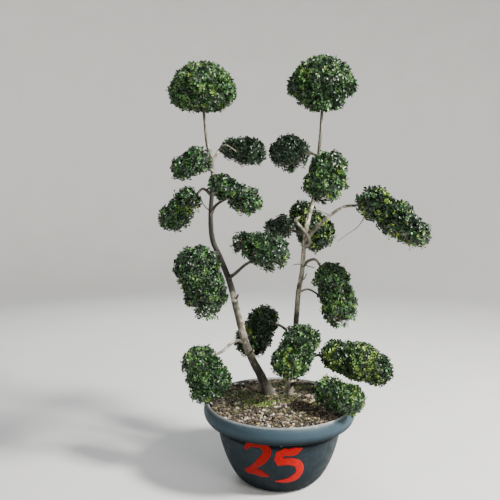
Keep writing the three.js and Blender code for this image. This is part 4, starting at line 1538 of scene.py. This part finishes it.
class TOPIARY_OT_fill_soil(Operator):
    """Fill the pot with soil and lay mulch, stones, litter and moss on it"""

    bl_idname = "topiary.fill_soil"
    bl_label = "Fill Soil"

    def execute(self, context):
        self.ground()
        self.mulch()
        self.litter()
        self.weeds()
        return {"FINISHED"}

    def ground(self):
        """The soil itself, lumpy on top."""
        inset = settings("pot").wall + SOIL_CLEARANCE
        rings = np.linspace(SOIL_EDGE_RADIUS, 0, 60)
        outline = np.vstack([
            [[0, FLOOR + GAP]], bowl_side(inset, FLOOR + GAP, 16),
            np.column_stack([rings, soil_height(rings)])])
        soil = turned(outline, 150)
        top = soil.vertex_groups.new(name="top")
        places = points_of(soil)
        high = places[:, 2] > SOIL_EDGE_HEIGHT + 0.3 * MM
        top.add(np.flatnonzero(high).tolist(), 1.0, "REPLACE")
        places[high, 2] += mound_height(places[high, 0], places[high, 1])
        move_points(soil, places)
        displace(soil, "soil_lumps", 0.05, 7 * MM, "top")
        displace(soil, "soil_crumbs", 0.010, 4 * MM, "top")
        humus = settings("soil").humus
        skin = earth_material("potting_humus", tinted(humus, 0.5), tinted(humus, 1.5), 90.0, 0.95, 1.6 * MM)
        finish_piece(soil, "soil_bed", skin, ["soil"], smooth=True)

    def lay(self, name, mesh, *look, smooth=True):
        """One kind of small things, from its points and faces, and its look as earth."""
        mesh_piece(*mesh, name, earth_material(name, *look), "potting_soil", smooth=smooth)

    def mulch(self):
        """Wood chips in four tones, thrown in patches, each with its share of the crumbs."""
        random = numbers_for("mulch")
        values = settings("soil")
        reach = LIP_RADIUS - 13 * MM
        places = scattered(random, values.chips, reach, 0, 5)
        front = np.clip(-places[:, 1] / 0.25, -1, 1)
        lot = random.random(len(places)) + 0.24 * patchiness(places, 22) + 0.12 * front
        rank = np.searchsorted([low for low, *_ in MULCH.values()][1:], lot)
        for index, (name, (_, share, dark, light)) in enumerate(MULCH.items()):
            crumbs = scattered(random, round(values.chips * share), reach, 0, 6)
            mesh = stacked([
                chips(random, places[rank == index], values.chip_length, flatness=0.20, tilt=0.30),
                chips(random, crumbs, values.chip_length * CRUMB_LENGTH, flatness=0.6, tilt=0.9)])
            self.lay(f"mulch_{name}", mesh, dark, light, 140.0, 0.85, 0.7 * MM, smooth=False)

    def litter(self):
        """Pebbles, fallen leaves and small dry twigs."""
        random = numbers_for("litter")
        places = scattered(random, 110, LIP_RADIUS - 16 * MM, 4, 6)
        skin = earth_material("pebble", (0.30, 0.28, 0.25), (0.52, 0.49, 0.45), 110.0, 0.7, 0.3 * MM)
        mesh_piece(*stones(random, places, 7.5 * MM), "pebbles", skin, "potting_soil")
        for name, (count, dark, light) in FALLEN.items():
            places = scattered(random, count, LIP_RADIUS - 12 * MM, 4, 9)
            mesh = lying_leaves(random, places, 15 * MM, 8 * MM, tilt=0.35)
            self.lay(f"litter_{name}", mesh, dark, light, 120.0, 0.75, 0.3 * MM)
        mesh_piece(*self.sticks(random), "dry_twigs", twig_material(), "potting_soil")

    def sticks(self, random):
        """Dry twigs lying about, and one that curls up out of the mulch."""
        starts = scattered(random, 70, LIP_RADIUS - 40 * MM, 5, 8)
        turn = random.uniform(0, FULL_TURN, len(starts))
        heading = np.column_stack([np.cos(turn), np.sin(turn), np.zeros(len(starts))])
        ends = starts + heading * random.uniform(14 * MM, 46 * MM, (len(starts), 1))
        inside = np.hypot(ends[:, 0], ends[:, 1]) < LIP_RADIUS - 10 * MM
        starts, ends = starts[inside], ends[inside]
        bends = bend_between(random, starts, ends, 0.10)
        bends[:, 2] = np.maximum(bends[:, 2], starts[:, 2])
        thick = random.uniform(0.7 * MM, 1.5 * MM, len(starts))
        lying = Wood(starts, bends, ends, thick, thick * 0.7, sides=5, steps=4)
        curl = np.radians(np.linspace(-30, 165, 9))
        ring = np.array([-117 * MM, -150 * MM, SOIL_TOP + 3 * MM]) + np.column_stack([
            16 * MM * np.cos(curl), 4 * MM * np.sin(curl), 15 * MM * np.sin(curl)])
        even = np.full(len(ring) - 1, 1.3 * MM)
        arc = Wood(ring[:-1], (ring[:-1] + ring[1:]) / 2, ring[1:], even, even, sides=5, steps=2)
        return stacked([tubes(lying), tubes(arc)])

    def weeds(self):
        """Fresh moss and a small weed in front of the stems, and dull old moss round them."""
        fresh = settings("soil").moss
        self.moss("moss", fresh, FRESH_MOSS)
        self.moss("old_moss", [part * 0.50 for part in fresh], OLD_MOSS)

    def moss(self, name, colour, spots):
        """Moss of one colour, in its patches."""
        random = numbers_for(name)
        batches = []
        for middle, spread, count in spots:
            level = (np.array(middle) + random.normal(0, 0.5, (count, 2)) * np.array(spread)) * MM
            level = level[np.hypot(*level.T) < LIP_RADIUS - 14 * MM]
            height = soil_height(np.hypot(*level.T)) + mound_height(*level.T)
            places = np.column_stack([level, height + random.uniform(1 * MM, 8 * MM, len(level))])
            batches.append(lying_leaves(random, places, 6.5 * MM, 4.0 * MM, tilt=0.8))
        mesh = stacked(batches)
        self.lay(name, mesh, tinted(colour, 0.45), tinted(colour, 1.25), 80.0, 0.7, 0.2 * MM)


def limb_piece(name, points, radii, sides, seed, skin, flutes=0.0):
    """A stem or bough in its bark."""
    tube = bent_tube(name, points, radii + BARK_THICK, sides, settings("bark").relief, seed, flutes)
    finish_piece(tube, f"bark_{name}", skin, [name], smooth=True)


class TOPIARY_OT_grow_trunks(Operator):
    """Grow the two stems with their bark relief"""

    bl_idname = "topiary.grow_trunks"
    bl_label = "Grow Trunks"

    def execute(self, context):
        for seed, name in enumerate(TRUNKS):
            points, radii = LIMBS[name]
            shown = points[:, 2] > SOIL_TOP - 8 * MM
            skin = bark_material(f"bark_{name}", *BARK[name])
            limb_piece(name, points[shown], radii[shown], 24, seed + 1, skin, FLUTES)
        return {"FINISHED"}


class TOPIARY_OT_grow_boughs(Operator):
    """Grow the boughs, and the bare spurs and pruned stubs on the wood"""

    bl_idname = "topiary.grow_boughs"
    bl_label = "Grow Boughs"

    def execute(self, context):
        # Painted shade: boughs without their own paleness get the bark at half its paleness
        dark = bark_material("bark_bough", 0.50)
        for seed, name in enumerate(BOUGHS):
            skin = bark_material(f"bark_{name}", *BARK[name]) if name in BARK else dark
            limb_piece(name, *LIMBS[name], 14, seed * 0.7, skin)
        self.spurs("bark_spurs", SPURS, dark)
        # Painted light: the pale spurs get the bark at 1.3 times its paleness
        self.spurs("bark_pale_spurs", PALE_SPURS, bark_material("bark_pale_spur", 1.3))
        return {"FINISHED"}

    def spurs(self, name, routes, skin):
        """Side shoots of one colour, joined into one piece."""
        relief = settings("bark").relief * 1.4
        pieces = []
        for seed, (spur, (route, thick, thin)) in enumerate(routes.items()):
            line, _ = even_line(np.array(route) * MM, 3 * MM)
            radii = np.linspace(thick, thin, len(line)) * MM
            pieces.append(bent_tube(spur, line, radii, 10, relief, seed * 1.3))
        finish_piece(join(pieces), name, skin, smooth=True)


class TOPIARY_OT_grow_foliage(Operator):
    """Grow twigs and leaves on from the limbs and fill every clipped pad"""

    bl_idname = "topiary.grow_foliage"
    bl_label = "Grow Foliage"

    def execute(self, context):
        skins = {tone.name: leaf_material(tone) for tone in leaf_tones()}
        wood_skin = twig_material()
        for clump, pads in CLUMPS.items():
            nodes = [f"foliage_{pad}" for pad in pads]
            grown = [grow_pad(pad) for pad in pads]
            wood = stacked([part for parts, _ in grown for part in parts])
            mesh_piece(*wood, f"twigs_{clump}", wood_skin, "bark", nodes)
            for index, (tone, skin) in enumerate(skins.items()):
                points = np.concatenate([leaves[index] for _, leaves in grown])
                mesh_piece(*leaf_mesh(points), f"leaves_{clump}_{tone}", skin, "holly_leaf", nodes)
        return {"FINISHED"}


class TOPIARY_OT_set_stage(Operator):
    """Set the pale floor, the soft lights and the camera"""

    bl_idname = "topiary.set_stage"
    bl_label = "Set Stage"

    def execute(self, context):
        self.backdrop()
        for name, values in LIGHTS.items():
            self.light(name, *values)
        self.sky(context)
        self.camera(context)
        return {"FINISHED"}

    def backdrop(self):
        """A round floor that sweeps up into a wall on all sides."""
        turn = np.linspace(-math.pi / 2, 0, 13)
        level = STAGE_RADIUS - STAGE_SWEEP
        sweep = np.column_stack([
            level + STAGE_SWEEP * np.cos(turn), STAGE_SWEEP + STAGE_SWEEP * np.sin(turn)])
        floor = turned(np.vstack([[[0, 0]], sweep, [[STAGE_RADIUS, STAGE_HEIGHT]]]), 96)
        floor.name = "floor"
        bpy.ops.object.shade_smooth()
        paint = spotted_material("pale_floor", 3.0, 0.3, (0.54, 0.54, 0.53), (0.57, 0.57, 0.56), 0.9)
        floor.data.materials.append(paint)

    def light(self, name, place, size, power, colour):
        lamp = bpy.data.lights.new(name, "AREA")
        lamp.size = size
        lamp.energy = power
        lamp.color = colour
        holder = placed(name, lamp)
        holder.location = place
        aim = Vector(LIGHT_AIM) - holder.location
        holder.rotation_euler = aim.to_track_quat("-Z", "Y").to_euler()

    def sky(self, context):
        world = bpy.data.worlds.new("pale_studio")
        world.use_nodes = True
        air = world.node_tree.nodes["Background"]
        air.inputs["Color"].default_value = SKY_COLOUR
        air.inputs["Strength"].default_value = SKY_STRENGTH
        context.scene.world = world

    def camera(self, context):
        lens = bpy.data.cameras.new("photo_view")
        lens.lens = LENS
        lens.sensor_width = SENSOR
        lens.clip_end = 100
        holder = placed("photo_view", lens)
        holder.location = CAMERA_PLACE
        holder.rotation_euler = (math.radians(CAMERA_TILT), 0, 0)
        context.scene.camera = holder


class TOPIARY_PT_panel(Panel):
    """The topiary's steps, in order, and its values"""

    bl_label = "Holly Topiary"
    bl_space_type = "VIEW_3D"
    bl_region_type = "UI"
    bl_category = "Topiary"

    def draw(self, context):
        for step in STEPS:
            self.layout.operator(step.bl_idname)
        for name, group in GROUPS.items():
            box = self.layout.box()
            for key in group.__annotations__:
                box.prop(settings(name), key)


STEPS = (
    TOPIARY_OT_set_stage, TOPIARY_OT_build_pot, TOPIARY_OT_paint_digits, TOPIARY_OT_fill_soil,
    TOPIARY_OT_grow_trunks, TOPIARY_OT_grow_boughs, TOPIARY_OT_grow_foliage,
)
GROUPS = {"pot": PotSettings, "soil": SoilSettings, "bark": BarkSettings, "foliage": FoliageSettings}


def register():
    for kind in (*GROUPS.values(), *STEPS, TOPIARY_PT_panel):
        bpy.utils.register_class(kind)
    for name, group in GROUPS.items():
        setattr(bpy.types.Scene, f"topiary_{name}", PointerProperty(type=group))


def unregister():
    for name in GROUPS:
        delattr(bpy.types.Scene, f"topiary_{name}")
    for kind in (TOPIARY_PT_panel, *STEPS, *GROUPS.values()):
        bpy.utils.unregister_class(kind)


def main():
    register()
    bpy.ops.topiary.set_stage()
    bpy.ops.topiary.build_pot()
    bpy.ops.topiary.paint_digits()
    bpy.ops.topiary.fill_soil()
    bpy.ops.topiary.grow_trunks()
    bpy.ops.topiary.grow_boughs()
    bpy.ops.topiary.grow_foliage()


if __name__ == "__main__":
    main()
